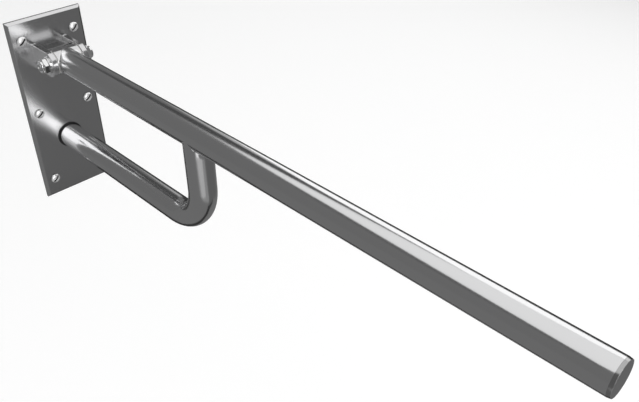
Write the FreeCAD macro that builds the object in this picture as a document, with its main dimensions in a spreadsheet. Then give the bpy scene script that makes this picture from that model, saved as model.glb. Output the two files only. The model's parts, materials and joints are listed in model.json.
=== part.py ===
import FreeCAD, Part
import os
from types import SimpleNamespace

import Sketcher
from FreeCAD import Placement, Rotation, Vector

# Fold-up grab bar.
# Frame: origin at the centre of the wall plate's back face, +Y into the wall, +Z up, +X to the
# right as seen from the room. The bar reaches out along -Y.

SIZES = (
    ("plate_width", 100, "wall plate, side to side"),
    ("plate_height", 250, "wall plate, top to bottom"),
    ("plate_thickness", 6, "wall plate, back to front"),
    ("plate_chamfer", 3, "bevel round the front of the plate"),
    ("screw_side_margin", 15, "screw centre to the side of the plate"),
    ("screw_end_margin", 25.5, "outer screw centre to the end of the plate"),
    ("screw_diameter", 6, "wall screw thread"),
    ("screw_neck_step", 0.3, "plain neck of a wall screw below its thread, on the radius"),
    ("screw_thread_start", 0.5, "start of the thread behind the plate"),
    ("screw_reach", 16, "wall screw beyond the back of the plate"),
    ("screw_point", 1.5, "taper at the tip of a wall screw"),
    ("screw_hole_clearance", 0.3, "round a wall screw in its hole"),
    ("screw_head_diameter", 12.4, "wall screw head"),
    ("screw_head_rim", 1, "upright rim of the head, under its dome"),
    ("screw_head_dome", 3, "height of the dome above the rim"),
    ("screw_slot_width", 2, "driver slot"),
    ("screw_slot_depth", 1.9, "driver slot below the top of the dome"),
    ("hinge_drop", 48.8, "pivot axis below the top of the plate"),
    ("hinge_reach", 40.7, "pivot axis in front of the wall"),
    ("cheek_clearance", 1.6, "between the bar and each ear of the bracket"),
    ("cheek_thickness", 6.35, "ear of the bracket"),
    ("cheek_height", 31.75, "ear of the bracket, and twice its nose radius"),
    ("cheek_edge", 0.4, "broken edge of an ear"),
    ("web_thickness", 5.5, "cross plate between the ears"),
    ("web_drop", 4.8, "top of the cross plate below the top of the ears"),
    ("web_clearance", 2, "between the cross plate and the folded bar"),
    ("foot_weld_leg", 1.6, "fillet bead where the ears meet the plate"),
    ("bolt_diameter", 10, "pivot bolt"),
    ("bolt_end", 1.4, "pivot bolt beyond the collar of its nut"),
    ("bolt_chamfer", 0.8, "end of the pivot bolt"),
    ("bolt_centre_diameter", 2.5, "turning centre in each end of the pivot bolt"),
    ("bolt_centre_depth", 2, "turning centre in each end of the pivot bolt"),
    ("bolt_hole_clearance", 0.1, "round the pivot bolt in the ears and washers"),
    ("washer_diameter", 21, "pivot washer"),
    ("washer_thickness", 2, "pivot washer"),
    ("nut_width", 17, "pivot nut across its flats"),
    ("nut_height", 5.8, "hexagon of the pivot nut"),
    ("nut_corner", 0.9, "corner of the hexagon turned away, along the axis"),
    ("collar_step", 0.9, "flat of the nut to its round collar"),
    ("collar_height", 3, "round collar of the pivot nut"),
    ("collar_wall", 1, "collar round the locking ring"),
    ("collar_lip", 0.6, "locking ring set back in the collar"),
    ("tube_diameter", 31.75, "bar, barrel and brace"),
    ("tube_wall", 1.6, "bar and brace"),
    ("bar_reach", 769.4, "free end in front of the wall"),
    ("barrel_wall", 3.2, "hinge barrel"),
    ("bush_flange_thickness", 1.5, "bearing flange between barrel and ear"),
    ("bush_flange_step", 1.4, "bearing flange inside the barrel's outline"),
    ("bush_length", 12, "bearing inside the barrel"),
    ("cap_thickness", 3.2, "end cap beyond the bar"),
    ("cap_taper", 0.6, "end cap's rim drawn in at its face"),
    ("cap_spigot", 14, "end cap inside the bar"),
    ("cap_wall", 2, "end cap's skirt inside the bar"),
    ("brace_drop", 120.1, "brace axis below the bar axis"),
    ("brace_reach", 308.1, "upright leg's axis in front of the wall"),
    ("bend_radius", 54, "bend of the brace, at its axis"),
    ("bumper_overhang", 1.6, "bumper proud of the brace"),
    ("bumper_thickness", 3.2, "rubber bumper, with its spigot inside the brace"),
    ("bumper_rim_height", 1.3, "rim of the bumper, between the brace and the plate"),
    ("bumper_edge", 0.5, "rounded edges of that rim"),
    ("insert_thickness", 6, "threaded disc in the end of the brace"),
    ("bumper_screw_diameter", 5, "screw that holds the bumper"),
    ("bumper_screw_head", 9.4, "countersunk head of that screw"),
    ("bumper_screw_sunk", 0.6, "head of that screw below the rubber face"),
    ("bumper_screw_end", 2, "that screw beyond the threaded disc"),
    ("bumper_socket_width", 3, "hexagon socket of that screw"),
    ("bumper_socket_depth", 1.4, "hexagon socket of that screw"),
    ("bead_width", 1.1, "weld bead proud of the tubes it joins"),
    ("bead_crown", 0.25, "weld bead where the tubes run level"),
    ("joint_gap", 0.05, "between a coped tube end and its neighbour"),
    ("running_clearance", 0.05, "between pieces that turn on each other"),
    ("seat_clearance", 0.05, "between the bumper and the plate"),
    ("press_clearance", 0.01, "between pieces fixed in each other"),
    ("overrun", 4, "how far a cutting shape runs past what it cuts"),
)

# Turn of each wall screw's slot, from level, by column and row (left, right; bottom to top).
SLOT_TURNS = ((43, 38, 41), (46, 40, 44))

FULL_TURN = 360
QUARTER_TURN = 90
# A hexagon's corner radius is this share of its width across the flats.
HEXAGON_CORNER_SHARE = 0.57735
CLOSE = 1e-4


class Length:
    """A size as the sheet's formula, which binds a property, and as its present value."""

    def __init__(self, formula, value):
        self.formula = formula
        self.value = value

    def __add__(self, other):
        return Length(f"({self.formula} + {other.formula})", self.value + other.value)

    def __sub__(self, other):
        return Length(f"({self.formula} - {other.formula})", self.value - other.value)

    def __mul__(self, factor):
        return Length(f"({self.formula} * {factor})", self.value * factor)

    def __truediv__(self, divisor):
        return Length(f"({self.formula} / {divisor})", self.value / divisor)

    def __neg__(self):
        return Length(f"(0 - {self.formula})", -self.value)


ZERO = Length("0", 0)

doc = FreeCAD.newDocument("fold_up_grab_bar")


def fill_sheet():
    """Write the driving sizes into the sheet and give each one back as a Length."""
    sheet = doc.addObject("Spreadsheet::Sheet", "Sizes")
    for row, (name, number, note) in enumerate(SIZES, 1):
        sheet.set(f"A{row}", note)
        sheet.set(f"B{row}", str(number))
        sheet.setAlias(f"B{row}", name)
    doc.recompute()
    lengths = {name: Length(f"Sizes.{name}", float(sheet.get(name))) for name, number, note in SIZES}
    return SimpleNamespace(**lengths)


size = fill_sheet()

# Sizes and places that more than one piece shares.
plate_front = -size.plate_thickness
pivot_y = -size.hinge_reach
pivot_z = size.plate_height / 2 - size.hinge_drop
screw_column = size.plate_width / 2 - size.screw_side_margin
screw_row = size.plate_height / 2 - size.screw_end_margin
tube_radius = size.tube_diameter / 2
tube_bore = tube_radius - size.tube_wall
cheek_inner = tube_radius + size.cheek_clearance
cheek_outer = cheek_inner + size.cheek_thickness
cheek_nose = size.cheek_height / 2
barrel_bore = tube_radius - size.barrel_wall
barrel_end = cheek_inner - size.running_clearance - size.bush_flange_thickness
bolt_radius = size.bolt_diameter / 2
nut_seat = cheek_outer + size.washer_thickness
nut_top = nut_seat + size.nut_height + size.collar_height
collar_radius = size.nut_width / 2 - size.collar_step
brace_z = pivot_z - size.brace_drop
leg_y = -size.brace_reach
bumper_face = plate_front - size.seat_clearance
brace_end = bumper_face - size.bumper_rim_height
insert_back = bumper_face - size.bumper_thickness
insert_front = insert_back - size.insert_thickness
bar_end = -size.bar_reach + size.cap_thickness
bumper_radius = tube_radius + size.bumper_overhang


def bind(item, name, length):
    item.setExpression(name, length.formula)


def place(item, x=ZERO, y=ZERO, z=ZERO):
    for axis, length in (("x", x), ("y", y), ("z", z)):
        bind(item, f"Placement.Base.{axis}", length)


def primitive(kind, name, **sizes):
    """A Part primitive with each named property bound to a size."""
    item = doc.addObject(f"Part::{kind}", name)
    for label, length in sizes.items():
        bind(item, label, length)
    return item


def cylinder(name, radius, height, direction, x=ZERO, y=ZERO, z=ZERO):
    """A cylinder from a point along a direction."""
    item = primitive("Cylinder", name, Radius=radius, Height=height)
    item.Placement = Placement(Vector(), Rotation(Vector(0, 0, 1), direction))
    place(item, x, y, z)
    return item


def cut(name, base, tool):
    item = doc.addObject("Part::Cut", name)
    item.Base = base
    item.Tool = tool
    return item


def fuse(name, pieces):
    item = doc.addObject("Part::MultiFuse", name)
    item.Shapes = pieces
    return item


def common(name, pieces):
    item = doc.addObject("Part::MultiCommon", name)
    item.Shapes = pieces
    return item


def group(name, pieces):
    """Like pieces kept together as separate solids."""
    item = doc.addObject("Part::Compound", name)
    item.Links = pieces
    return item


def mirrored(name, source):
    """The left-hand twin of a right-hand piece."""
    item = doc.addObject("Part::Mirroring", name)
    item.Source = source
    item.Normal = Vector(1, 0, 0)
    return item


def new_body(name):
    return doc.addObject("PartDesign::Body", name)


def new_sketch(body, name, role):
    """A sketch on one of the body's own origin planes."""
    sketch = body.newObject("Sketcher::SketchObject", name)
    plane = next(item for item in body.Origin.OriginFeatures if item.Role == role)
    sketch.AttachmentSupport = [(plane, "")]
    sketch.MapMode = "FlatFace"
    return sketch


def tie_across(sketch, geometry, vertex, x):
    """Tie a vertex's distance across the sketch to a size, or put it on the upright axis."""
    if x is ZERO:
        sketch.addConstraint(Sketcher.Constraint("PointOnObject", geometry, vertex, -2))
    else:
        index = sketch.addConstraint(Sketcher.Constraint("DistanceX", -1, 1, geometry, vertex, x.value))
        bind(sketch, f"Constraints[{index}]", x)


def tie_up(sketch, geometry, vertex, y):
    """Tie a vertex's height in the sketch to a size, or put it on the level axis."""
    if y is ZERO:
        sketch.addConstraint(Sketcher.Constraint("PointOnObject", geometry, vertex, -1))
    else:
        index = sketch.addConstraint(Sketcher.Constraint("DistanceY", -1, 1, geometry, vertex, y.value))
        bind(sketch, f"Constraints[{index}]", y)


def outline(sketch, corners, round_side=None, through=None, centre_x=None):
    """A closed outline tied at every corner. One side may be an arc through a point near its
    middle, taken counter-clockwise about a centre at centre_x."""
    points = [Vector(x.value, y.value, 0) for x, y in corners]
    sides = []
    for number, (start, end) in enumerate(zip(points, points[1:] + points[:1])):
        curve = Part.Arc(start, through, end) if number == round_side else Part.LineSegment(start, end)
        sides.append(sketch.addGeometry(curve, False))
    for side, after in zip(sides, sides[1:] + sides[:1]):
        sketch.addConstraint(Sketcher.Constraint("Coincident", side, 2, after, 1))
    for side, (x, y) in zip(sides, corners):
        tie_across(sketch, side, 1, x)
        tie_up(sketch, side, 1, y)
    if round_side is not None:
        tie_across(sketch, sides[round_side], 3, centre_x)


def circle(sketch, x, y, radius):
    centre = Vector(x.value, y.value, 0)
    ring = sketch.addGeometry(Part.Circle(centre, Vector(0, 0, 1), radius.value), False)
    tie_across(sketch, ring, 3, x)
    tie_up(sketch, ring, 3, y)
    index = sketch.addConstraint(Sketcher.Constraint("Radius", ring, radius.value))
    bind(sketch, f"Constraints[{index}]", radius)


def centred_rectangle(sketch, width, height):
    right = width / 2
    top = height / 2
    outline(sketch, ((-right, -top), (right, -top), (right, top), (-right, top)))


def hexagon(sketch, width):
    """A regular hexagon about the sketch's origin, with a corner on its vertical axis."""
    corner = width * HEXAGON_CORNER_SHARE
    flat = width / 2
    outline(
        sketch,
        (
            (ZERO, corner),
            (-flat, corner / 2),
            (-flat, -corner / 2),
            (ZERO, -corner),
            (flat, -corner / 2),
            (flat, corner / 2),
        ),
    )


def pad(body, sketch, name, length, symmetric=False, backwards=False):
    feature = body.newObject("PartDesign::Pad", name)
    feature.Profile = sketch
    bind(feature, "Length", length)
    feature.Midplane = symmetric
    feature.Reversed = backwards
    return feature


def pocket(body, sketch, name, length=None, backwards=False):
    """Cut the sketch into the body, right through it unless a length is given."""
    feature = body.newObject("PartDesign::Pocket", name)
    feature.Profile = sketch
    feature.Reversed = backwards
    if length is None:
        feature.Type = "ThroughAll"
    else:
        bind(feature, "Length", length)
    return feature


def turned(body, sketch, name, axis, kind="Revolution"):
    """Turn the sketch through a full turn about its own horizontal or vertical axis."""
    feature = body.newObject(f"PartDesign::{kind}", name)
    feature.Profile = sketch
    feature.ReferenceAxis = (sketch, [axis])
    feature.Angle = FULL_TURN
    return feature


def dress(body, kind, name, base, amount, chosen):
    """A chamfer or fillet of the base's chosen edges."""
    doc.recompute()
    names = [f"Edge{n}" for n, edge in enumerate(base.Shape.Edges, 1) if chosen(edge)]
    feature = body.newObject(f"PartDesign::{kind}", name)
    feature.Base = (base, names)
    bind(feature, "Size" if kind == "Chamfer" else "Radius", amount)
    return feature


def lies_at(edge, axis, length):
    """Whether the whole edge lies in the plane at that distance along the axis."""
    bounds = edge.BoundBox
    low = getattr(bounds, f"{axis}Min")
    high = getattr(bounds, f"{axis}Max")
    return abs(low - length.value) < CLOSE and abs(high - length.value) < CLOSE


def is_circle(edge, radius):
    return isinstance(edge.Curve, Part.Circle) and abs(edge.Curve.Radius - radius.value) < CLOSE


def wall_plate():
    """Flat bar with its six screw holes and a bevel round its front."""
    body = new_body("wall_plate")
    face = new_sketch(body, "plate_face", "XZ_Plane")
    centred_rectangle(face, size.plate_width, size.plate_height)
    slab = pad(body, face, "plate_slab", size.plate_thickness)
    dress(
        body,
        "Chamfer",
        "plate_edge",
        slab,
        size.plate_chamfer,
        lambda edge: lies_at(edge, "Y", plate_front),
    )
    holes = new_sketch(body, "plate_holes", "XZ_Plane")
    hole_radius = size.screw_diameter / 2 + size.screw_hole_clearance
    for x in (-screw_column, screw_column):
        for z in (-screw_row, ZERO, screw_row):
            circle(holes, x, z, hole_radius)
    pocket(body, holes, "plate_drilling", backwards=True)
    return body


def wall_screw(name, turn):
    """Dome-head slotted screw, its head's underside on the plane y = 0 of its own frame."""
    body = new_body(name)
    profile = new_sketch(body, f"{name}_profile", "XY_Plane")
    thread = size.screw_diameter / 2
    neck = thread - size.screw_neck_step
    head = size.screw_head_diameter / 2
    thread_start = size.plate_thickness + size.screw_thread_start
    length = size.plate_thickness + size.screw_reach
    rim = -size.screw_head_rim
    top = rim - size.screw_head_dome
    dome_radius = (head.value ** 2 + size.screw_head_dome.value ** 2) / (2 * size.screw_head_dome.value)
    half_way = head.value / 2
    dome_fall = dome_radius - (dome_radius ** 2 - half_way ** 2) ** 0.5
    outline(
        profile,
        (
            (ZERO, top),
            (head, rim),
            (head, ZERO),
            (neck, ZERO),
            (neck, thread_start),
            (thread, thread_start),
            (thread, length - size.screw_point),
            (thread - size.screw_point, length),
            (ZERO, length),
        ),
        round_side=0,
        through=Vector(half_way, top.value + dome_fall, 0),
        centre_x=ZERO,
    )
    turned(body, profile, f"{name}_turned", "V_Axis")
    slot = new_sketch(body, f"{name}_slot_section", "XZ_Plane")
    # The plane's own normal points along -Y, so the offset is taken against it.
    bind(slot, "AttachmentOffset.Base.z", -top)
    centred_rectangle(slot, size.screw_head_diameter + size.overrun, size.screw_slot_width)
    pocket(body, slot, f"{name}_slot", size.screw_slot_depth)
    body.Placement = Placement(Vector(), Rotation(Vector(0, -1, 0), turn))
    return body


def wall_screws():
    """Six screws in two columns, each slot left at its own angle."""
    screws = []
    for side, (x, turns) in enumerate(zip((-screw_column, screw_column), SLOT_TURNS)):
        for row, (z, turn) in enumerate(zip((-screw_row, ZERO, screw_row), turns)):
            screw = wall_screw(f"wall_screw_{side}{row}", turn)
            place(screw, x, plate_front, z)
            screws.append(screw)
    return group("wall_screws", screws)


def hinge_cheek_right():
    """Right ear: a flat bar with a round nose about the pivot, and its bolt hole."""
    body = new_body("hinge_cheek_right")
    section = new_sketch(body, "cheek_section", "YZ_Plane")
    bind(section, "AttachmentOffset.Base.z", cheek_inner)
    top = pivot_z + cheek_nose
    bottom = pivot_z - cheek_nose
    outline(
        section,
        ((pivot_y, bottom), (plate_front, bottom), (plate_front, top), (pivot_y, top)),
        round_side=3,
        through=Vector((pivot_y - cheek_nose).value, pivot_z.value, 0),
        centre_x=pivot_y,
    )
    ear = pad(body, section, "cheek_ear", size.cheek_thickness)

    def outer_edge(edge):
        bounds = edge.BoundBox
        on_face = lies_at(edge, "X", cheek_outer) or lies_at(edge, "X", cheek_inner)
        return on_face and bounds.YMin < plate_front.value - CLOSE

    dress(body, "Chamfer", "cheek_edges", ear, size.cheek_edge, outer_edge)
    hole = new_sketch(body, "cheek_hole", "YZ_Plane")
    circle(hole, pivot_y, pivot_z, bolt_radius + size.bolt_hole_clearance)
    pocket(body, hole, "cheek_drilling", backwards=True)
    return body


def hinge_web():
    """Cross plate between the ears, short enough to clear the bar when it is folded up."""
    front = pivot_y + tube_radius + size.web_clearance
    web = primitive(
        "Box",
        "hinge_web",
        Length=cheek_inner * 2,
        Width=plate_front - front,
        Height=size.web_thickness,
    )
    place(web, -cheek_inner, front, pivot_z + cheek_nose - size.web_drop - size.web_thickness)
    return web


def cheek_welds():
    """A fillet bead round the foot of each ear, on its outside, top and bottom."""
    leg = size.foot_weld_leg
    low = pivot_z - cheek_nose
    high = pivot_z + cheek_nose
    bead = primitive(
        "Wedge",
        "foot_bead",
        Xmin=cheek_inner,
        Xmax=cheek_outer,
        X2min=cheek_inner,
        X2max=cheek_outer + leg,
        Ymin=plate_front - leg,
        Ymax=plate_front,
        Zmin=low,
        Zmax=high,
        Z2min=low - leg,
        Z2max=high + leg,
    )
    ear = primitive(
        "Box",
        "foot_ear",
        Length=size.cheek_thickness + size.overrun,
        Width=leg + size.overrun * 2,
        Height=size.cheek_height,
    )
    place(ear, cheek_inner - size.overrun, plate_front - leg - size.overrun, low)
    right = cut("cheek_weld_right", bead, ear)
    return group("cheek_welds", [right, mirrored("cheek_weld_left", right)])


def pivot_bolt():
    """Through bolt with a chamfered thread end on each side."""
    body = new_body("pivot_bolt")
    section = new_sketch(body, "bolt_section", "YZ_Plane")
    circle(section, pivot_y, pivot_z, bolt_radius)
    half_length = nut_top + size.bolt_end
    rod = pad(body, section, "bolt_rod", half_length * 2, symmetric=True)
    dress(
        body,
        "Chamfer",
        "bolt_ends",
        rod,
        size.bolt_chamfer,
        lambda edge: is_circle(edge, bolt_radius),
    )
    for side, end, backwards in (("right", half_length, False), ("left", -half_length, True)):
        centre = new_sketch(body, f"bolt_centre_{side}_section", "YZ_Plane")
        bind(centre, "AttachmentOffset.Base.z", end)
        circle(centre, pivot_y, pivot_z, size.bolt_centre_diameter / 2)
        pocket(body, centre, f"bolt_centre_{side}", size.bolt_centre_depth, backwards)
    return body


def pivot_washers():
    """A flat washer outside each ear."""
    body = new_body("pivot_washer_right")
    section = new_sketch(body, "washer_section", "YZ_Plane")
    bind(section, "AttachmentOffset.Base.z", cheek_outer)
    circle(section, pivot_y, pivot_z, size.washer_diameter / 2)
    circle(section, pivot_y, pivot_z, bolt_radius + size.bolt_hole_clearance)
    pad(body, section, "washer_disc", size.washer_thickness)
    return group("pivot_washers", [body, mirrored("pivot_washer_left", body)])


def pivot_nuts():
    """Lock nuts: a hexagon, then a round collar that holds the locking ring."""
    body = new_body("pivot_nut_right")
    section = new_sketch(body, "nut_section", "YZ_Plane")
    hexagon(section, size.nut_width)
    pad(body, section, "nut_hexagon", size.nut_height)
    corner = size.nut_width * HEXAGON_CORNER_SHARE
    flat = size.nut_width / 2
    collar = new_sketch(body, "nut_collar_profile", "XY_Plane")
    collar_top = size.nut_height + size.collar_height
    ring_seat = collar_top - size.collar_lip
    outline(
        collar,
        (
            (ZERO, ZERO),
            (ring_seat, ZERO),
            (ring_seat, collar_radius - size.collar_wall),
            (collar_top, collar_radius - size.collar_wall),
            (collar_top, collar_radius - size.collar_wall / 2),
            (collar_top - size.collar_wall / 2, collar_radius),
            (ZERO, collar_radius),
        ),
    )
    turned(body, collar, "nut_collar", "H_Axis")
    for name, face, inward in (("nut_base_corners", ZERO, 1), ("nut_top_corners", size.nut_height, -1)):
        bevel = new_sketch(body, f"{name}_profile", "XY_Plane")
        depth = size.nut_corner * inward
        outline(bevel, ((face, flat), (face, corner + size.overrun), (face + depth, corner)))
        turned(body, bevel, name, "H_Axis", kind="Groove")
    bore = new_sketch(body, "nut_bore_section", "YZ_Plane")
    circle(bore, ZERO, ZERO, bolt_radius + size.press_clearance)
    pocket(body, bore, "nut_bore", backwards=True)
    seat = new_sketch(body, "nut_ring_seat_section", "YZ_Plane")
    bind(seat, "AttachmentOffset.Base.z", size.nut_height)
    circle(seat, ZERO, ZERO, collar_radius - size.collar_wall)
    pocket(body, seat, "nut_ring_seat", backwards=True)
    place(body, nut_seat, pivot_y, pivot_z)
    return group("pivot_nuts", [body, mirrored("pivot_nut_left", body)])


def nut_inserts():
    """The plastic locking ring in each nut's collar."""
    body = new_body("nut_insert_right")
    section = new_sketch(body, "insert_section", "YZ_Plane")
    bind(section, "AttachmentOffset.Base.z", nut_seat + size.nut_height)
    circle(section, pivot_y, pivot_z, collar_radius - size.collar_wall - size.press_clearance)
    circle(section, pivot_y, pivot_z, bolt_radius + size.press_clearance)
    pad(body, section, "insert_ring", size.collar_height - size.collar_lip)
    return group("nut_inserts", [body, mirrored("nut_insert_left", body)])


def hinge_barrel():
    """Thick cross tube that turns about the bolt between the ears."""
    body = new_body("hinge_barrel")
    section = new_sketch(body, "barrel_section", "YZ_Plane")
    circle(section, pivot_y, pivot_z, tube_radius)
    circle(section, pivot_y, pivot_z, barrel_bore)
    pad(body, section, "barrel_tube", barrel_end * 2, symmetric=True)
    return body


def barrel_bush_right():
    """Flanged plastic bearing, pressed into the barrel and running on the bolt."""
    body = new_body("barrel_bush_right")
    profile = new_sketch(body, "bush_profile", "XY_Plane")
    bore = bolt_radius + size.running_clearance
    seat = barrel_bore - size.press_clearance
    flange = tube_radius - size.bush_flange_step
    inner_end = barrel_end - size.bush_length
    outer_end = barrel_end + size.bush_flange_thickness
    outline(
        profile,
        (
            (inner_end, bore),
            (outer_end, bore),
            (outer_end, flange),
            (barrel_end, flange),
            (barrel_end, seat),
            (inner_end, seat),
        ),
    )
    turned(body, profile, "bush_turned", "H_Axis")
    place(body, ZERO, pivot_y, pivot_z)
    return body


def grab_tube():
    """Straight round bar, its wall end coped to sit on the barrel."""
    length = pivot_y - bar_end
    outwards = Vector(0, -1, 0)
    across = Vector(1, 0, 0)
    outer = cylinder("bar_outer", tube_radius, length, outwards, ZERO, pivot_y, pivot_z)
    inner = cylinder("bar_inner", tube_bore, length + size.overrun, outwards, ZERO, pivot_y, pivot_z)
    cope_radius = tube_radius + size.joint_gap
    cope_half = tube_radius + size.overrun
    cope = cylinder("bar_cope", cope_radius, cope_half * 2, across, -cope_half, pivot_y, pivot_z)
    return cut("grab_tube", cut("bar_hollow", outer, inner), cope)


def end_cap():
    """Closed end of the bar: a disc with a tapered rim, on a skirt inside the tube."""
    body = new_body("end_cap")
    profile = new_sketch(body, "cap_profile", "XY_Plane")
    skirt = tube_bore - size.press_clearance
    inner_skirt = skirt - size.cap_wall
    spigot_end = bar_end + size.cap_spigot
    front = -size.bar_reach
    outline(
        profile,
        (
            (ZERO, front),
            (tube_radius - size.cap_taper, front),
            (tube_radius, bar_end),
            (skirt, bar_end),
            (skirt, spigot_end),
            (inner_skirt, spigot_end),
            (inner_skirt, bar_end),
            (ZERO, bar_end),
        ),
    )
    turned(body, profile, "cap_turned", "V_Axis")
    place(body, ZERO, ZERO, pivot_z)
    return body


def bent_rod(name, radius, start, top):
    """Level run, quarter bend and upright leg as one solid rod along the brace's axis."""
    bend_y = leg_y + size.bend_radius
    bend_z = brace_z + size.bend_radius
    run = cylinder(f"{name}_run", radius, start - bend_y, Vector(0, 1, 0), ZERO, bend_y, brace_z)
    leg = cylinder(f"{name}_leg", radius, top - bend_z, Vector(0, 0, 1), ZERO, leg_y, bend_z)
    bend = primitive("Torus", f"{name}_bend", Radius1=size.bend_radius, Radius2=radius)
    bend.Angle3 = QUARTER_TURN
    # The torus is made about Z and starts along +X: it is stood up so that it starts downwards.
    stand = Rotation(Vector(0, 0, -1), Vector(0, -1, 0), Vector(-1, 0, 0), "ZXY")
    bend.Placement = Placement(Vector(), stand)
    place(bend, ZERO, bend_y, bend_z)
    return fuse(f"{name}_rod", [run, bend, leg])


def brace_tube():
    """Bent tube from the bumper to the underside of the bar, where its top is coped."""
    outer = bent_rod("brace_outer", tube_radius, brace_end, pivot_z)
    inner = bent_rod("brace_inner", tube_bore, brace_end + size.overrun, pivot_z)
    cope_radius = tube_radius + size.joint_gap
    cope_half = tube_radius + size.overrun
    along_bar = Vector(0, 1, 0)
    cope = cylinder("brace_cope", cope_radius, cope_half * 2, along_bar, ZERO, leg_y - cope_half, pivot_z)
    return cut("brace_tube", cut("brace_hollow", outer, inner), cope)


def saddle_weld(name, oval_turn, branch_way, through_way, y, z):
    """Bead where a branch meets a tube of its own size. It fills the place where a swollen branch
    and a swollen tube cross, less the branch and the tube. The swollen branch is oval, so that the
    bead thins out where the two tubes run level."""
    swell = tube_radius + size.bead_width
    crown = tube_radius + size.bead_crown
    reach = swell * 2
    oval = primitive("Ellipse", f"{name}_oval", MajorRadius=swell, MinorRadius=crown)
    oval.Placement = Placement(Vector(), oval_turn)
    place(oval, ZERO, y, z)
    swollen_branch = doc.addObject("Part::Extrusion", f"{name}_swollen_branch")
    swollen_branch.Base = oval
    swollen_branch.DirMode = "Custom"
    swollen_branch.Dir = branch_way
    swollen_branch.Solid = True
    bind(swollen_branch, "LengthFwd", reach)
    start_x = swell * -through_way.x
    start_y = y - swell * through_way.y
    swollen_tube = cylinder(f"{name}_swollen_tube", swell, reach, through_way, start_x, start_y, z)
    tube = cylinder(f"{name}_tube", tube_radius, reach, through_way, start_x, start_y, z)
    branch = cylinder(f"{name}_branch", tube_radius, reach, branch_way, ZERO, y, z)
    crossing = common(f"{name}_crossing", [swollen_branch, swollen_tube])
    return cut(name, cut(f"{name}_outside", crossing, tube), branch)


def barrel_weld():
    """Bead along the saddle where the bar meets the barrel."""
    across_bar = Rotation(Vector(1, 0, 0), QUARTER_TURN)
    along_bar = Vector(0, -1, 0)
    along_barrel = Vector(1, 0, 0)
    return saddle_weld("barrel_weld", across_bar, along_bar, along_barrel, pivot_y, pivot_z)


def brace_weld():
    """Bead along the saddle where the leg meets the underside of the bar."""
    across_leg = Rotation(Vector(0, 0, 1), QUARTER_TURN)
    down_leg = Vector(0, 0, -1)
    along_bar = Vector(0, 1, 0)
    return saddle_weld("brace_weld", across_leg, down_leg, along_bar, leg_y, pivot_z)


def brace_insert():
    """Threaded disc fixed inside the wall end of the brace, as deep as the bumper's spigot."""
    body = new_body("brace_insert")
    profile = new_sketch(body, "brace_insert_profile", "XY_Plane")
    bore = size.bumper_screw_diameter / 2
    rim = tube_bore - size.press_clearance
    outline(profile, ((bore, insert_front), (rim, insert_front), (rim, insert_back), (bore, insert_back)))
    turned(body, profile, "brace_insert_turned", "V_Axis")
    place(body, ZERO, ZERO, brace_z)
    return body


def wall_bumper():
    """Rubber plug in the end of the brace, with a countersunk hole. Its rim rests on the plate
    when the bar is down."""
    body = new_body("wall_bumper")
    profile = new_sketch(body, "bumper_profile", "XY_Plane")
    bore = size.bumper_screw_diameter / 2 + size.press_clearance
    head = size.bumper_screw_head / 2 + size.press_clearance
    spigot = tube_bore - size.press_clearance
    head_top = bumper_face - size.bumper_screw_sunk
    head_foot = head_top - (head - bore)
    outline(
        profile,
        (
            (bore, insert_back),
            (spigot, insert_back),
            (spigot, brace_end),
            (bumper_radius, brace_end),
            (bumper_radius, bumper_face),
            (head, bumper_face),
            (head, head_top),
            (bore, head_foot),
        ),
    )
    ring = turned(body, profile, "bumper_turned", "V_Axis")
    dress(
        body,
        "Fillet",
        "bumper_rim",
        ring,
        size.bumper_edge,
        lambda edge: is_circle(edge, bumper_radius),
    )
    place(body, ZERO, ZERO, brace_z)
    return body


def bumper_screw():
    """Countersunk socket screw, its head sunk below the face of the rubber."""
    body = new_body("bumper_screw")
    profile = new_sketch(body, "bumper_screw_profile", "XY_Plane")
    shank = size.bumper_screw_diameter / 2
    head = size.bumper_screw_head / 2
    head_top = bumper_face - size.bumper_screw_sunk
    head_foot = head_top - (head - shank)
    tip = insert_front - size.bumper_screw_end
    outline(profile, ((ZERO, tip), (shank, tip), (shank, head_foot), (head, head_top), (ZERO, head_top)))
    turned(body, profile, "bumper_screw_turned", "V_Axis")
    socket = new_sketch(body, "bumper_socket_section", "XZ_Plane")
    # The plane's own normal points along -Y, so the offset is taken against it.
    bind(socket, "AttachmentOffset.Base.z", -head_top)
    hexagon(socket, size.bumper_socket_width)
    pocket(body, socket, "bumper_socket", size.bumper_socket_depth, backwards=True)
    place(body, ZERO, ZERO, brace_z)
    return body


def check(nodes):
    """Stop if any object failed, any sub-part is empty or broken, or a cut removed nothing."""
    for item in doc.Objects:
        state = set(item.State)
        if state & {"Invalid", "Error"}:
            raise RuntimeError(f"{item.Name} is in state {sorted(state)}")
        if item.TypeId in ("PartDesign::Pocket", "PartDesign::Groove"):
            before = item.BaseFeature.Shape.Volume
            if item.Shape.Volume >= before:
                raise RuntimeError(f"{item.Name} removed nothing")
    for node in nodes:
        shape = node.Shape
        if shape.isNull() or not shape.isValid() or not shape.Solids:
            raise RuntimeError(f"{node.Label} has no sound shape")


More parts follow.
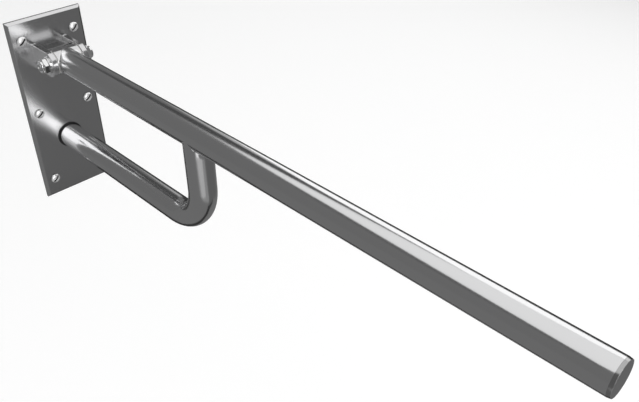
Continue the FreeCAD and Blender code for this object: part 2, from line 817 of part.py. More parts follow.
def main():
    cheek = hinge_cheek_right()
    bush = barrel_bush_right()
    nodes = [
        wall_plate(),
        wall_screws(),
        cheek,
        mirrored("hinge_cheek_left", cheek),
        hinge_web(),
        cheek_welds(),
        pivot_bolt(),
        pivot_washers(),
        pivot_nuts(),
        nut_inserts(),
        hinge_barrel(),
        bush,
        mirrored("barrel_bush_left", bush),
        grab_tube(),
        barrel_weld(),
        end_cap(),
        brace_tube(),
        brace_weld(),
        brace_insert(),
        wall_bumper(),
        bumper_screw(),
    ]
    for node in nodes:
        node.Label = node.Name
    doc.recompute()
    check(nodes)
    os.makedirs("parts", exist_ok=True)
    for node in nodes:
        node.Shape.exportStep(f"parts/{node.Label}.step")
        box = node.Shape.BoundBox
        low = f"{box.XMin:.1f} {box.YMin:.1f} {box.ZMin:.1f}"
        high = f"{box.XMax:.1f} {box.YMax:.1f} {box.ZMax:.1f}"
        solids = len(node.Shape.Solids)
        print(f"{node.Label}: {solids} solid(s), {node.Shape.Volume:.0f} mm3, {low} to {high}")


main()
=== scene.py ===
# %% [markdown]
# # A fold-up grab bar in satin steel
# The imported model already holds every piece at its real size, with its hinge. This lesson gives
# each piece the surface that a welder, a lathe and a polishing belt would leave on it, and then
# lights it as a photographer lights bright metal on a white ground. We load the frame first.

# %% Load the frame
import json
import math

import bmesh
import bpy
from mathutils import Matrix, Vector


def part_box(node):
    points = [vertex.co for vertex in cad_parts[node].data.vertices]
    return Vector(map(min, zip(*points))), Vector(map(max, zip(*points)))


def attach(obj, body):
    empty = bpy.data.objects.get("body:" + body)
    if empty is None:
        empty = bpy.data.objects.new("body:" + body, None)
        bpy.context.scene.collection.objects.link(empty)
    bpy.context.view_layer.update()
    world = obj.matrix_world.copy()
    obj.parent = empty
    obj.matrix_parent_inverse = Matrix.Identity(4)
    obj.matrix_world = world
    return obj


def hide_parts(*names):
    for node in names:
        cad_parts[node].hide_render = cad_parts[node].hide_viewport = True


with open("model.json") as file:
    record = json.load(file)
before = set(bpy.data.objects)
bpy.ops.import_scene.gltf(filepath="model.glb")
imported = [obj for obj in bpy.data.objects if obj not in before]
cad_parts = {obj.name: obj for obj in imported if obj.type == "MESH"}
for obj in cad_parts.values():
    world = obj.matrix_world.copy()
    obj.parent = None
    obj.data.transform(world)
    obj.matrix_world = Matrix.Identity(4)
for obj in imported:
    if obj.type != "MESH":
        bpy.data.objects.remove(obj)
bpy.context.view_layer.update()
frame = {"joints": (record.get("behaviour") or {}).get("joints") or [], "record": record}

MM = 0.001
FULL_TURN = 2 * math.pi
HALF_TURN = math.pi
QUARTER_TURN = math.pi / 2
TO_RIGHT = Vector((1, 0, 0))
INTO_WALL = Vector((0, 1, 0))
OUT_OF_WALL = Vector((0, -1, 0))
UP = Vector((0, 0, 1))

# %% [markdown]
# The frame's boxes tell us the main sizes: the tube's radius, how far the bar reaches, where the
# hinge turns. Reading them, rather than typing them, keeps every new piece in the place of the
# one that it stands for. A box can't show how thick a wall is, so that one is typed.

# %% Read the main sizes
bar_low, bar_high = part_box("grab_tube")
cap_low, cap_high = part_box("end_cap")
tube_radius = bar_high.x
tube_wall = 1.6 * MM
pivot = Vector(frame["joints"][0]["pos_m"])
at_pivot = Matrix.Translation((0, pivot.y, pivot.z))

print(f"tube radius {tube_radius / MM:.2f} mm, bar reach {-cap_low.y / MM:.1f} mm, pivot {tuple(pivot)}")

# %% [markdown]
# Every piece ends the same way: its faces are turned outwards, its mesh is shaded smooth except
# across real edges, it is hung on the body it rides on and given its material, and the plain
# solids it stands for are hidden. One helper does that. The weighted normals keep flat faces looking
# flat beside their rounded edges, which matters on metal, where a bent normal shows as a smear.

# %% Finish a piece
SHARP_ANGLE = math.radians(38)
MERGE_DISTANCE = 0.002 * MM


def finish_piece(name, shape, material, body, slot, *nodes):
    """Make a shape into a finished piece that stands for some of the frame's nodes."""
    bmesh.ops.remove_doubles(shape, verts=shape.verts, dist=MERGE_DISTANCE)
    bmesh.ops.recalc_face_normals(shape, faces=shape.faces)
    mesh = bpy.data.meshes.new(name)
    shape.to_mesh(mesh)
    shape.free()
    mesh.shade_smooth()
    mesh.set_sharp_from_angle(angle=SHARP_ANGLE)
    mesh.materials.append(material)
    piece = bpy.data.objects.new(name, mesh)
    bpy.context.scene.collection.objects.link(piece)
    flat = piece.modifiers.new("flat faces stay flat", "WEIGHTED_NORMAL")
    flat.keep_sharp = True
    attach(piece, body)
    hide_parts(*nodes)
    print(f"{name}: {len(mesh.polygons)} faces, rides on {body}")
    return piece


print("edges sharper than", round(math.degrees(SHARP_ANGLE)), "degrees stay sharp")

# %% [markdown]
# ## Materials
# A material is a small net of nodes. Wiring each one by hand is slow to write and to read, so
# four helpers do the steps that every material here repeats: add a node, start a material, mix
# two colours, and spread a value from one range onto another.

# %% Shader helpers
def node(tree, kind, **values):
    """Add a shader node and set its properties and its inputs by name."""
    made = tree.nodes.new(kind)
    for key, value in values.items():
        if key in made.inputs:
            made.inputs[key].default_value = value
        else:
            setattr(made, key, value)
    return made


def new_material(name):
    """A material with one empty surface, joined to its output."""
    material = bpy.data.materials.new(name)
    material.use_nodes = True
    tree = material.node_tree
    tree.nodes.clear()
    surface = tree.nodes.new("ShaderNodeBsdfPrincipled")
    output = tree.nodes.new("ShaderNodeOutputMaterial")
    tree.links.new(surface.outputs["BSDF"], output.inputs["Surface"])
    return material, tree, surface


def mixed_colour(tree, share, first, second):
    """Mix two colours by a share from 0 to 1."""
    mix = node(tree, "ShaderNodeMix", data_type="RGBA")
    colours = [socket for socket in mix.inputs if socket.type == "RGBA"]
    colours[0].default_value = first
    colours[1].default_value = second
    tree.links.new(share, mix.inputs["Factor"])
    return next(socket for socket in mix.outputs if socket.type == "RGBA")


def ramp(tree, source, low, high, start=0.0, end=1.0):
    """Spread a value from one range onto another."""
    spread = node(tree, "ShaderNodeMapRange")
    spread.inputs["From Min"].default_value = start
    spread.inputs["From Max"].default_value = end
    spread.inputs["To Min"].default_value = low
    spread.inputs["To Max"].default_value = high
    tree.links.new(source, spread.inputs["Value"])
    return spread.outputs["Result"]


print("shader helpers ready")

# %% [markdown]
# Satin stainless steel is a mirror that has been combed by an abrasive belt. Seen from a step
# away it has soft, long reflections, and only from close by do the fine scratches show. The
# scratches could be painted, but they are shape, not colour, so they go into the bump and the
# roughness. A noise texture stretched hard one way gives the combing.

# %% Combed steel
COMBING_DETAIL = 3.0
COMBING_ROUGHNESS = 0.6
NOISE_LOW = 0.3
NOISE_HIGH = 0.7
SCRATCH_DEPTH = 0.02
BUMP_HEIGHT = 0.1 * MM


def steel(name, colour, grain_vector, roughness, grain, depth=SCRATCH_DEPTH):
    """Metal with a combed grain. grain_vector gives the stretched vector for the noise."""
    material, tree, surface = new_material(name)
    surface.inputs["Base Color"].default_value = colour
    surface.inputs["Metallic"].default_value = 1
    combing = node(tree, "ShaderNodeTexNoise", Scale=1.0, Detail=COMBING_DETAIL, Roughness=COMBING_ROUGHNESS)
    tree.links.new(grain_vector(tree), combing.inputs["Vector"])
    spread = ramp(tree, combing.outputs["Fac"], roughness - grain, roughness + grain, NOISE_LOW, NOISE_HIGH)
    tree.links.new(spread, surface.inputs["Roughness"])
    bump = node(tree, "ShaderNodeBump", Strength=depth, Distance=BUMP_HEIGHT)
    tree.links.new(combing.outputs["Fac"], bump.inputs["Height"])
    tree.links.new(bump.outputs["Normal"], surface.inputs["Normal"])
    return material, tree, surface


print("the noise fills", NOISE_LOW, "to", NOISE_HIGH, "of its range")

# %% [markdown]
# The belt left its scratches in a direction. On the plates it ran upright. On the tubes it ran
# round them, so their pattern follows a distance along the tube that each tube carries in its
# mesh: a bent tube then keeps its rings square to its axis. Small turned and rolled pieces have
# fine marks with no direction.

# %% Three grains
GRAIN_ACROSS = 2600
GRAIN_ALONG = 70
EVEN_GRAIN = GRAIN_ACROSS / 3


def stretched_place(tree, scale):
    """The place on the object, stretched along its three axes."""
    place = tree.nodes.new("ShaderNodeTexCoord")
    stretch = node(tree, "ShaderNodeMapping")
    stretch.inputs["Scale"].default_value = scale
    tree.links.new(place.outputs["Object"], stretch.inputs["Vector"])
    return stretch.outputs["Vector"]


def upright_grain(tree):
    """Scratches that run up and down a plate."""
    return stretched_place(tree, (GRAIN_ACROSS, GRAIN_ACROSS, GRAIN_ALONG))


def even_grain(tree):
    """Fine marks with no direction, as on small turned and rolled pieces."""
    return stretched_place(tree, (EVEN_GRAIN, EVEN_GRAIN, EVEN_GRAIN))


def belt_grain(tree):
    """Scratches that run round a tube, from the distance along it that its mesh carries."""
    place = stretched_place(tree, (GRAIN_ALONG, GRAIN_ALONG, GRAIN_ALONG))
    along = node(tree, "ShaderNodeAttribute", attribute_name="along")
    spacing = node(tree, "ShaderNodeMath", operation="MULTIPLY")
    spacing.inputs[1].default_value = GRAIN_ACROSS
    tree.links.new(along.outputs["Fac"], spacing.inputs[0])
    lift = node(tree, "ShaderNodeCombineXYZ")
    tree.links.new(spacing.outputs["Value"], lift.inputs["X"])
    shifted = node(tree, "ShaderNodeVectorMath", operation="ADD")
    tree.links.new(place, shifted.inputs[0])
    tree.links.new(lift.outputs["Vector"], shifted.inputs[1])
    return shifted.outputs["Vector"]


print("scratches are", round(GRAIN_ACROSS / GRAIN_ALONG), "times longer than they are wide")

# %% [markdown]
# All the pieces are of much the same steel, but each was finished in its own way. The plate and
# the tubes are belted. The insides of the ears, some of their edges and the cross plate wear a
# darker steel: painted shade, where they lie between or under other parts. The fasteners are
# bright, except for the wall screws' heads: their matt nickel plating scatters most of the light
# that falls on it, so they stay pale where bright steel would mirror a dark card, and their slots
# and rims are painted nearly black, as painted shade.

# %% The steels
STEEL = (0.66, 0.66, 0.665, 1)
# Darker grey painted on the end cap's rim band, as painted shade.
CAP_RIM_PAINTED_SHADE = (0.40, 0.40, 0.40, 1)
# Darker steel painted on faces between and under the bracket's parts, as painted shade.
PAINTED_SHADE_STEEL = (0.34, 0.34, 0.34, 1)
BRIGHT_STEEL = (0.80, 0.80, 0.80, 1)
WELD_STEEL = (0.72, 0.72, 0.72, 1)
# Near black painted in the wall screws' slots and on their rims, as painted shade.
SLOT_PAINTED_SHADE = (0.05, 0.05, 0.05, 1)
HEAD_NICKEL = (0.90, 0.90, 0.90, 1)
NICKEL_METALLIC = 0.6
TUBE_BELT = {"roughness": 0.16, "grain": 0.015, "depth": 0.004}

plate_steel = steel("satin plate steel", STEEL, upright_grain, roughness=0.20, grain=0.02, depth=0.01)[0]
tube_steel = steel("satin tube steel", STEEL, belt_grain, **TUBE_BELT)[0]
painted_shade_steel = steel("plate steel with painted shade", PAINTED_SHADE_STEEL, even_grain, roughness=0.26, grain=0.03)[0]
bright_steel = steel("bright steel fasteners", BRIGHT_STEEL, even_grain, roughness=0.08, grain=0.02)[0]
slot_painted_shade = steel("painted shade for slots and rims", SLOT_PAINTED_SHADE, even_grain, roughness=0.35, grain=0.05)[0]
head_nickel, tree, surface = steel("matt nickel heads", HEAD_NICKEL, even_grain, roughness=0.22, grain=0.03)
surface.inputs["Metallic"].default_value = NICKEL_METALLIC
weld_steel = steel("ground weld steel", WELD_STEEL, even_grain, roughness=0.18, grain=0.03)[0]
metals = (plate_steel, tube_steel, painted_shade_steel, bright_steel, slot_painted_shade, head_nickel, weld_steel)
print("metals:", [metal.name for metal in metals])

# %% [markdown]
# The soft materials are small but they tell the eye that this is a real hinge: pale nylon rings
# in the lock nuts, off-white bearings between the barrel and the ears, and a black rubber plug
# where the brace leans on the plate. Each has a faint mottling, because no moulded plastic is
# perfectly even.

# %% Plastic and rubber materials
WEAR = 0.06
MOTTLE_DETAIL = 4.0
NYLON_SHADES = ((0.70, 0.71, 0.73, 1), (0.62, 0.63, 0.66, 1))
BEARING_SHADES = ((0.80, 0.80, 0.78, 1), (0.72, 0.72, 0.70, 1))
RUBBER_SHADES = ((0.006, 0.006, 0.006, 1), (0.012, 0.012, 0.012, 1))


def moulded(name, shades, roughness, scale, depth):
    """A moulded material whose colour wanders a little between two shades."""
    material, tree, surface = new_material(name)
    place = tree.nodes.new("ShaderNodeTexCoord")
    mottle = node(tree, "ShaderNodeTexNoise", Scale=scale, Detail=MOTTLE_DETAIL)
    tree.links.new(place.outputs["Object"], mottle.inputs["Vector"])
    wandering = mixed_colour(tree, mottle.outputs["Fac"], *shades)
    tree.links.new(wandering, surface.inputs["Base Color"])
    wear = ramp(tree, mottle.outputs["Fac"], roughness - WEAR, roughness + WEAR)
    tree.links.new(wear, surface.inputs["Roughness"])
    bump = node(tree, "ShaderNodeBump", Strength=depth, Distance=BUMP_HEIGHT)
    tree.links.new(mottle.outputs["Fac"], bump.inputs["Height"])
    tree.links.new(bump.outputs["Normal"], surface.inputs["Normal"])
    return material


nylon = moulded("nylon", NYLON_SHADES, roughness=0.45, scale=900, depth=0.08)
bearing_plastic = moulded("bearing plastic", BEARING_SHADES, roughness=0.5, scale=700, depth=0.08)
rubber = moulded("black rubber", RUBBER_SHADES, roughness=0.7, scale=1200, depth=0.25)
print("moulded materials:", [material.name for material in (nylon, bearing_plastic, rubber)])

# %% [markdown]
# ## Turned pieces
# Most of this object came off a lathe. In Blender a lathe is the spin operator: draw half of the
# section, from the axis outwards, and turn it once round. The helper takes the section as pairs
# of a distance along the axis and a radius, and turns it about X. Where a section is round, a
# second helper draws the arc.

# %% The lathe
TURN_STEPS = 64
POLE_DISTANCE = 0.001 * MM
NEAR = 0.01 * MM     # places closer than this count as one


def turned(section, closed=False, steps=TURN_STEPS):
    """Turn a section of (along the axis, radius) pairs about the X axis."""
    shape = bmesh.new()
    points = [shape.verts.new((along, 0, radius)) for along, radius in section]
    pairs = list(zip(points, points[1:]))
    if closed:
        pairs.append((points[-1], points[0]))
    edges = [shape.edges.new(pair) for pair in pairs]
    bmesh.ops.spin(
        shape,
        geom=points + edges,
        cent=(0, 0, 0),
        axis=(1, 0, 0),
        angle=FULL_TURN,
        steps=steps,
        use_merge=True,
    )
    bmesh.ops.remove_doubles(shape, verts=shape.verts, dist=POLE_DISTANCE)
    bmesh.ops.recalc_face_normals(shape, faces=shape.faces)
    return shape


def arc(start, end, centre, radius, steps):
    """Points on a circle about a centre, between two angles given in radians."""
    points = []
    for number in range(steps + 1):
        angle = start + (end - start) * number / steps
        points.append((centre[0] + radius * math.cos(angle), centre[1] + radius * math.sin(angle)))
    return points


print("lathe ready,", TURN_STEPS, "steps")

# %% [markdown]
# No real edge is perfectly sharp, and it is the thin bright line along a rounded edge that makes
# metal look solid. So nearly every piece is softened: each edge that turns by more than 30
# degrees gets a narrow bevel. The other two helpers put a finished shape where it belongs.

# %% Soften, stand and copy
BROKEN_ANGLE = math.radians(30)


def bevel_edges(shape, edges, width, segments):
    """Bevel some edges by a width."""
    bmesh.ops.bevel(
        shape,
        geom=edges,
        offset=width,
        offset_type="OFFSET",
        segments=segments,
        profile=0.5,
        affect="EDGES",
        clamp_overlap=True,
        material=-1,
    )


def soften(shape, width, segments=2):
    """Round every edge that turns by more than the broken angle."""
    closed_edges = [edge for edge in shape.edges if len(edge.link_faces) == 2]
    edges = [edge for edge in closed_edges if edge.calc_face_angle() > BROKEN_ANGLE]
    bevel_edges(shape, edges, width, segments)


def stand(shape, place, x_becomes=TO_RIGHT):
    """Turn a shape made along X so that X points another way, and put it in place."""
    turn = TO_RIGHT.rotation_difference(x_becomes).to_matrix().to_4x4()
    bmesh.ops.transform(shape, matrix=Matrix.Translation(place) @ turn, verts=shape.verts)


def copy_into(target, source, matrix):
    """Add a moved copy of one shape to another."""
    mesh = bpy.data.meshes.new("copied")
    source.to_mesh(mesh)
    mesh.transform(matrix)
    target.from_mesh(mesh)
    bpy.data.meshes.remove(mesh)


print("edges that turn by more than", round(math.degrees(BROKEN_ANGLE)), "degrees are softened")

# %% [markdown]
# ## The tubes
# A welded steel tube is a thin skin with a wall, so a skin is what we model: a circle, extruded,
# and a Solidify modifier to give it its wall. The helpers start a ring, draw it on, and store in
# each vertex how far along the tube it lies, for the belt's scratches.

# %% Tube helpers
TUBE_SIDES = 128
joint_gap = 0.05 * MM


def edges_of(verts):
    """The edges that meet some vertices, each once and in a fixed order."""
    return list(dict.fromkeys(edge for vert in verts for edge in vert.link_edges))


def tube_ring(shape, start, axis):
    """A ring of edges about an axis through start, ready to be extruded."""
    ring = bmesh.ops.create_circle(shape, cap_ends=False, segments=TUBE_SIDES, radius=tube_radius)["verts"]
    turn = UP.rotation_difference(axis).to_matrix().to_4x4()
    bmesh.ops.transform(shape, matrix=Matrix.Translation(start) @ turn, verts=ring)
    return edges_of(ring)


def extrude_ring(shape, edges, move):
    """Extrude a ring by a vector and give back the new ring's edges."""
    made = bmesh.ops.extrude_edge_only(shape, edges=edges)["geom"]
    verts = [item for item in made if isinstance(item, bmesh.types.BMVert)]
    bmesh.ops.translate(shape, verts=verts, vec=move)
    new_edges = [item for item in made if isinstance(item, bmesh.types.BMEdge)]
    return [edge for edge in new_edges if all(vert in verts for vert in edge.verts)]


def mark_along(shape, measure):
    """Store each vertex's distance along its tube for the belt grain."""
    layer = shape.verts.layers.float.new("along")
    for vert in shape.verts:
        vert[layer] = measure(vert.co)


def give_wall(piece):
    """Give a skin the tube's wall, inwards, before its normals are weighted."""
    wall = piece.modifiers.new("tube wall", "SOLIDIFY")
    wall.thickness = tube_wall
    wall.offset = -1
    piece.modifiers.move(len(piece.modifiers) - 1, 0)


print(f"tubes have {TUBE_SIDES} sides and a wall of {tube_wall / MM:.1f} mm")

# %% [markdown]
# The bar's wall end is cut to sit on the barrel. Two tubes of one diameter that cross at right
# angles meet along two flat ellipses, so each point of the end circle moves back by just its own
# distance from the middle. That gives the fish-mouth exactly, with no boolean.

# %% Grab tube
BAR_SECTIONS = 40
bar_shape = bmesh.new()
ring = tube_ring(bar_shape, Vector((0, pivot.y, pivot.z)), OUT_OF_WALL)
saddle = {vert for edge in ring for vert in edge.verts}
step = Vector((0, (bar_low.y - pivot.y) / BAR_SECTIONS, 0))
for section in range(BAR_SECTIONS):
    ring = extrude_ring(bar_shape, ring, step)
for vert in saddle:
    vert.co.y = pivot.y - abs(vert.co.x) - joint_gap
for vert in bar_shape.verts:
    if vert not in saddle:
        vert.co.y = min(vert.co.y, pivot.y - abs(vert.co.x) - joint_gap * 2)
mark_along(bar_shape, lambda co: -co.y)
bar = finish_piece("satin_grab_tube", bar_shape, tube_steel, "arm", "tube_steel", "grab_tube")
give_wall(bar)

# %% [markdown]
# ## The brace
# One tube, bent once in a pipe bender: a level run, a quarter bend and an upright leg. The belt
# followed it round the bend, so its distance has three parts: straight along the run, the arc's
# length in the bend, and straight up the leg.

# %% Distance along the brace
brace_low, brace_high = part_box("brace_tube")
brace_height = brace_low.z + tube_radius
leg_reach = brace_low.y + tube_radius
bend_radius = 54 * MM
bend_centre = Vector((0, leg_reach + bend_radius, brace_height + bend_radius))
run_length = brace_high.y - bend_centre.y
bend_length = bend_radius * QUARTER_TURN
leg_length = pivot.z - bend_centre.z


def along_brace(co):
    """Distance from the wall end of the brace to the point on its axis nearest to co."""
    if co.z < bend_centre.z and co.y > bend_centre.y:
        return brace_high.y - co.y
    if co.z >= bend_centre.z:
        return run_length + bend_length + co.z - bend_centre.z
    turn = math.atan2(bend_centre.y - co.y, bend_centre.z - co.z)
    return run_length + bend_radius * turn


print(f"run {run_length / MM:.1f} mm, bend {bend_length / MM:.1f} mm, leg {leg_length / MM:.1f} mm")

# %% [markdown]
# A curve with a round bevel would make this tube in one step, but its rings would not match the
# bar's. Here the run and the leg are extruded, and the bend is a spin of the same ring about the
# bender's centre, so the section stays truly round all the way. The leg's top is cut to sit
# under the bar by the same fish-mouth rule.

# %% Brace tube
BEND_STEPS = 40
RUN_SECTIONS = 16
LEG_SECTIONS = 6
brace_shape = bmesh.new()
ring = tube_ring(brace_shape, Vector((0, brace_high.y, brace_height)), OUT_OF_WALL)
for section in range(RUN_SECTIONS):
    ring = extrude_ring(brace_shape, ring, Vector((0, -run_length / RUN_SECTIONS, 0)))
ring_verts = list(dict.fromkeys(vert for edge in ring for vert in edge.verts))
bent = bmesh.ops.spin(
    brace_shape,
    geom=ring_verts + ring,
    cent=bend_centre,
    axis=(1, 0, 0),
    angle=-QUARTER_TURN,
    steps=BEND_STEPS,
)["geom_last"]
ring = [item for item in bent if isinstance(item, bmesh.types.BMEdge)]
for section in range(LEG_SECTIONS):
    ring = extrude_ring(brace_shape, ring, Vector((0, 0, leg_length / LEG_SECTIONS)))
top = {vert for edge in ring for vert in edge.verts}
for vert in brace_shape.verts:
    saddle_height = pivot.z - abs(vert.co.y - leg_reach) - joint_gap
    if vert in top or (vert.co.z > bend_centre.z and vert.co.z > saddle_height):
        vert.co.z = saddle_height
mark_along(brace_shape, along_brace)
brace = finish_piece("satin_brace_tube", brace_shape, tube_steel, "arm", "tube_steel", "brace_tube")
give_wall(brace)

# %% [markdown]
# ## Barrel and end cap
# The barrel is the short thick tube that turns on the bolt. Its ends rub past the ears, so they
# show their full wall and a softened edge, and it is turned as a closed section.

# %% Barrel
barrel_low, barrel_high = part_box("hinge_barrel")
barrel_wall = 3.2 * MM
BARREL_EDGE = 0.35 * MM
barrel_shape = turned(
    (
        (barrel_low.x, tube_radius - barrel_wall),
        (barrel_high.x, tube_radius - barrel_wall),
        (barrel_high.x, tube_radius),
        (barrel_low.x, tube_radius),
    ),
    closed=True,
    steps=TUBE_SIDES,
)
soften(barrel_shape, BARREL_EDGE)
stand(barrel_shape, Vector((0, pivot.y, pivot.z)))
mark_along(barrel_shape, lambda co: co.x)
finish_piece("satin_hinge_barrel", barrel_shape, tube_steel, "arm", "tube_steel", "hinge_barrel")

# %% [markdown]
# The cap closes the free end of the bar, with a skirt that is pushed into the tube. Its rim is
# painted darker, as painted shade, between two fine edges that catch the light. A second piece or
# a picture could carry the painted shade, but an attribute in the mesh, which the material reads,
# keeps it exactly on the rim.

# %% End cap
PUSH_FIT = 0.01 * MM
CAP_EDGE = 0.2 * MM
cap_skirt = tube_radius - tube_wall - PUSH_FIT
cap_skirt_wall = 2 * MM
cap_taper = 0.6 * MM
cap_thickness = bar_low.y - cap_low.y
cap_length = cap_high.y - cap_low.y
cap_shape = turned(
    (
        (0, 0),
        (0, tube_radius - cap_taper),
        (cap_thickness, tube_radius),
        (cap_thickness, cap_skirt),
        (cap_length, cap_skirt),
        (cap_length, cap_skirt - cap_skirt_wall),
        (cap_thickness, cap_skirt - cap_skirt_wall),
        (cap_thickness, 0),
    ),
    steps=TUBE_SIDES,
)
soften(cap_shape, CAP_EDGE)
# The rim attribute marks the band of the cap whose colour is painted darker, as painted shade.
rim = cap_shape.verts.layers.float.new("rim")
for vert in cap_shape.verts:
    on_band = CAP_EDGE / 2 < vert.co.x < cap_thickness - CAP_EDGE / 2
    at_outside = math.hypot(vert.co.y, vert.co.z) > cap_skirt
    vert[rim] = 1 if on_band and at_outside else 0
stand(cap_shape, Vector((0, cap_low.y, pivot.z)), INTO_WALL)
mark_along(cap_shape, lambda co: -co.y)

cap_steel_painted_shade, tree, surface = steel("turned cap steel with painted shade rim", STEEL, belt_grain, **TUBE_BELT)
# The rim band's base colour is mixed towards the darker grey: painted shade.
painted_shade_share = node(tree, "ShaderNodeAttribute", attribute_name="rim")
painted_shade_tone = mixed_colour(tree, painted_shade_share.outputs["Fac"], STEEL, CAP_RIM_PAINTED_SHADE)
tree.links.new(painted_shade_tone, surface.inputs["Base Color"])
finish_piece("satin_end_cap", cap_shape, cap_steel_painted_shade, "arm", "tube_steel", "end_cap")

# %% [markdown]
# ## The wall plate
# The plate and the ears are cut from flat bar. We draw an outline and its round holes as edges,
# fill what lies between them, and extrude. A boolean would cut the holes too, but it leaves a
# less even mesh. The record of the part tells us where the wall screws go.

# %% Cut from flat bar
HOLE_SIDES = 32
HOLE_CLEARANCE = 0.3 * MM
mounts = {mount["name"]: mount for mount in frame["record"]["mounts"]}
corner = mounts["corner_studs"]["dims"]
screw_column = corner["spacing_x_mm"] / 2 * MM
screw_row = corner["spacing_y_mm"] / 2 * MM
thread_radius = corner["stud_r_mm"] * MM
hole_radius = thread_radius + HOLE_CLEARANCE
screw_places = [(x, z) for x in (-screw_column, screw_column) for z in (-screw_row, 0, screw_row)]


def cut_out(outline, holes, thickness):
    """A flat piece from an outline of (x, y) points and round holes, extruded along +Z."""
    shape = bmesh.new()
    corners = [shape.verts.new((x, y, 0)) for x, y in outline]
    for start, end in zip(corners, corners[1:] + corners[:1]):
        shape.edges.new((start, end))
    for x, y, radius in holes:
        place = Matrix.Translation((x, y, 0))
        bmesh.ops.create_circle(shape, cap_ends=False, segments=HOLE_SIDES, radius=radius, matrix=place)
    bmesh.ops.triangle_fill(shape, use_beauty=True, use_dissolve=False, edges=shape.edges[:])
    front = bmesh.ops.extrude_face_region(shape, geom=shape.faces[:])["geom"]
    verts = [item for item in front if isinstance(item, bmesh.types.BMVert)]
    bmesh.ops.translate(shape, verts=verts, vec=(0, 0, thickness))
    bmesh.ops.recalc_face_normals(shape, faces=shape.faces)
    return shape


print(len(screw_places), "wall screws,", f"holes of {hole_radius / MM:.1f} mm radius")

# %% [markdown]
# The plate has half of its thickness taken off all round its front as a bevel. The bevel matters
# most: each of its four sides faces another part of the room, so the top one is bright and the
# others are dark. After it, every edge that is left is broken by a fine second bevel.

# %% Wall plate
PLATE_BEVEL = 3 * MM
PLATE_EDGE = 0.15 * MM
plate_low, plate_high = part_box("wall_plate")
plate_front = plate_low.y
plate_size = plate_high - plate_low
half_width = plate_size.x / 2
half_height = plate_size.z / 2
plate_outline = (
    (-half_width, -half_height),
    (half_width, -half_height),
    (half_width, half_height),
    (-half_width, half_height),
)
plate_shape = cut_out(plate_outline, [(x, z, hole_radius) for x, z in screw_places], plate_size.y)
face_the_room = Matrix.Rotation(QUARTER_TURN, 3, "X")
bmesh.ops.rotate(plate_shape, verts=plate_shape.verts, cent=(0, 0, 0), matrix=face_the_room)


def plate_edges(margin):
    """The plate's real edges that lie within a margin of its outline."""
    chosen = []
    for edge in plate_shape.edges:
        at_side = all(abs(vert.co.x) > plate_high.x - margin for vert in edge.verts)
        at_end = all(abs(vert.co.z) > plate_high.z - margin for vert in edge.verts)
        if (at_side or at_end) and edge.calc_face_angle(0) > BROKEN_ANGLE:
            chosen.append(edge)
    return chosen


front_edges = [edge for edge in plate_edges(NEAR) if all(v.co.y < plate_front + NEAR for v in edge.verts)]
bevel_edges(plate_shape, front_edges, PLATE_BEVEL, 1)
bevel_edges(plate_shape, plate_edges(PLATE_BEVEL + NEAR), PLATE_EDGE, 2)
finish_piece("satin_wall_plate", plate_shape, plate_steel, "wall_bracket", "plate_steel", "wall_plate")

# %% [markdown]
# ## Wall screws
# Dome-head slotted screws. The head is turned, and then a saw runs through it: two upright
# planes and one level plane divide the mesh, what lies between them is deleted, and the two
# walls and the floor of the slot are closed again.

# %% Saw a slot
screws_low, screws_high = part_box("wall_screws")
head_radius = screws_high.x - screw_column
head_height = plate_front - screws_low.y
slot_width = 2 * MM
slot_depth = 1.9 * MM
slot_floor = head_height - slot_depth
CUT_DISTANCE = NEAR / 10


def cut(shape, place, normal, clear_outer=False):
    """Divide a shape at a plane, and if asked take away what the plane's normal points to."""
    bmesh.ops.bisect_plane(
        shape,
        geom=shape.verts[:] + shape.edges[:] + shape.faces[:],
        dist=CUT_DISTANCE,
        plane_co=place,
        plane_no=normal,
        clear_outer=clear_outer,
    )


def saw_slot(shape):
    """Saw a slot along Z into the top of a head along +X, and close its walls and its floor."""
    half = slot_width / 2
    cut(shape, (0, half, 0), (0, 1, 0))
    cut(shape, (0, -half, 0), (0, 1, 0))
    cut(shape, (slot_floor, 0, 0), (1, 0, 0))
    inside = []
    for face in shape.faces:
        middle = face.calc_center_median()
        if abs(middle.y) < half and middle.x > slot_floor:
            inside.append(face)
    bmesh.ops.delete(shape, geom=inside, context="FACES")
    open_edges = [edge for edge in shape.edges if edge.is_boundary]
    floor_edges = [edge for edge in open_edges if all(abs(v.co.x - slot_floor) < NEAR for v in edge.verts)]
    wall_edges = [edge for edge in open_edges if edge not in floor_edges]
    for side in (-half, half):
        wall = [edge for edge in wall_edges if all(abs(v.co.y - side) < NEAR for v in edge.verts)]
        ends = [vert for edge in wall for vert in edge.verts if abs(vert.co.x - slot_floor) < NEAR]
        foot = shape.edges.new((ends[0], ends[1]))
        floor_edges.append(foot)
        bmesh.ops.contextual_create(shape, geom=wall + [foot])
    bmesh.ops.contextual_create(shape, geom=floor_edges)
    bmesh.ops.recalc_face_normals(shape, faces=shape.faces)


print(f"slot {slot_width / MM:.1f} by {slot_depth / MM:.1f} mm in a head {head_height / MM:.1f} mm high")

# %% [markdown]
# The dome is part of a sphere, over a thin upright rim. The rim and the slot are painted nearly
# black, as painted shade, and only the dome is pale, so the faces of one head wear two materials.
# A face's material is a number, its place in the piece's list of materials.

# %% Dome head
HEAD_STEPS = 48
DOME_STEPS = 10
HEAD_EDGE = 0.15 * MM
RIM_TILT = 0.5
RIM_SHARE = 0.95
PAINTED_SHADE_PLACE = 1
NICKEL_PLACE = 2
head_rim = 1 * MM


def head_finish(face):
    """The place, in the screws' list of materials, of the one that a face of the head wears."""
    middle = face.calc_center_median()
    # Slot and rim faces wear the near-black painted shade, and the rest wear the nickel.
    in_slot = abs(middle.y) < slot_width / 2 + NEAR and middle.x > slot_floor - NEAR
    on_rim = abs(face.normal.x) < RIM_TILT and math.hypot(middle.y, middle.z) > head_radius * RIM_SHARE
    return PAINTED_SHADE_PLACE if in_slot or on_rim else NICKEL_PLACE


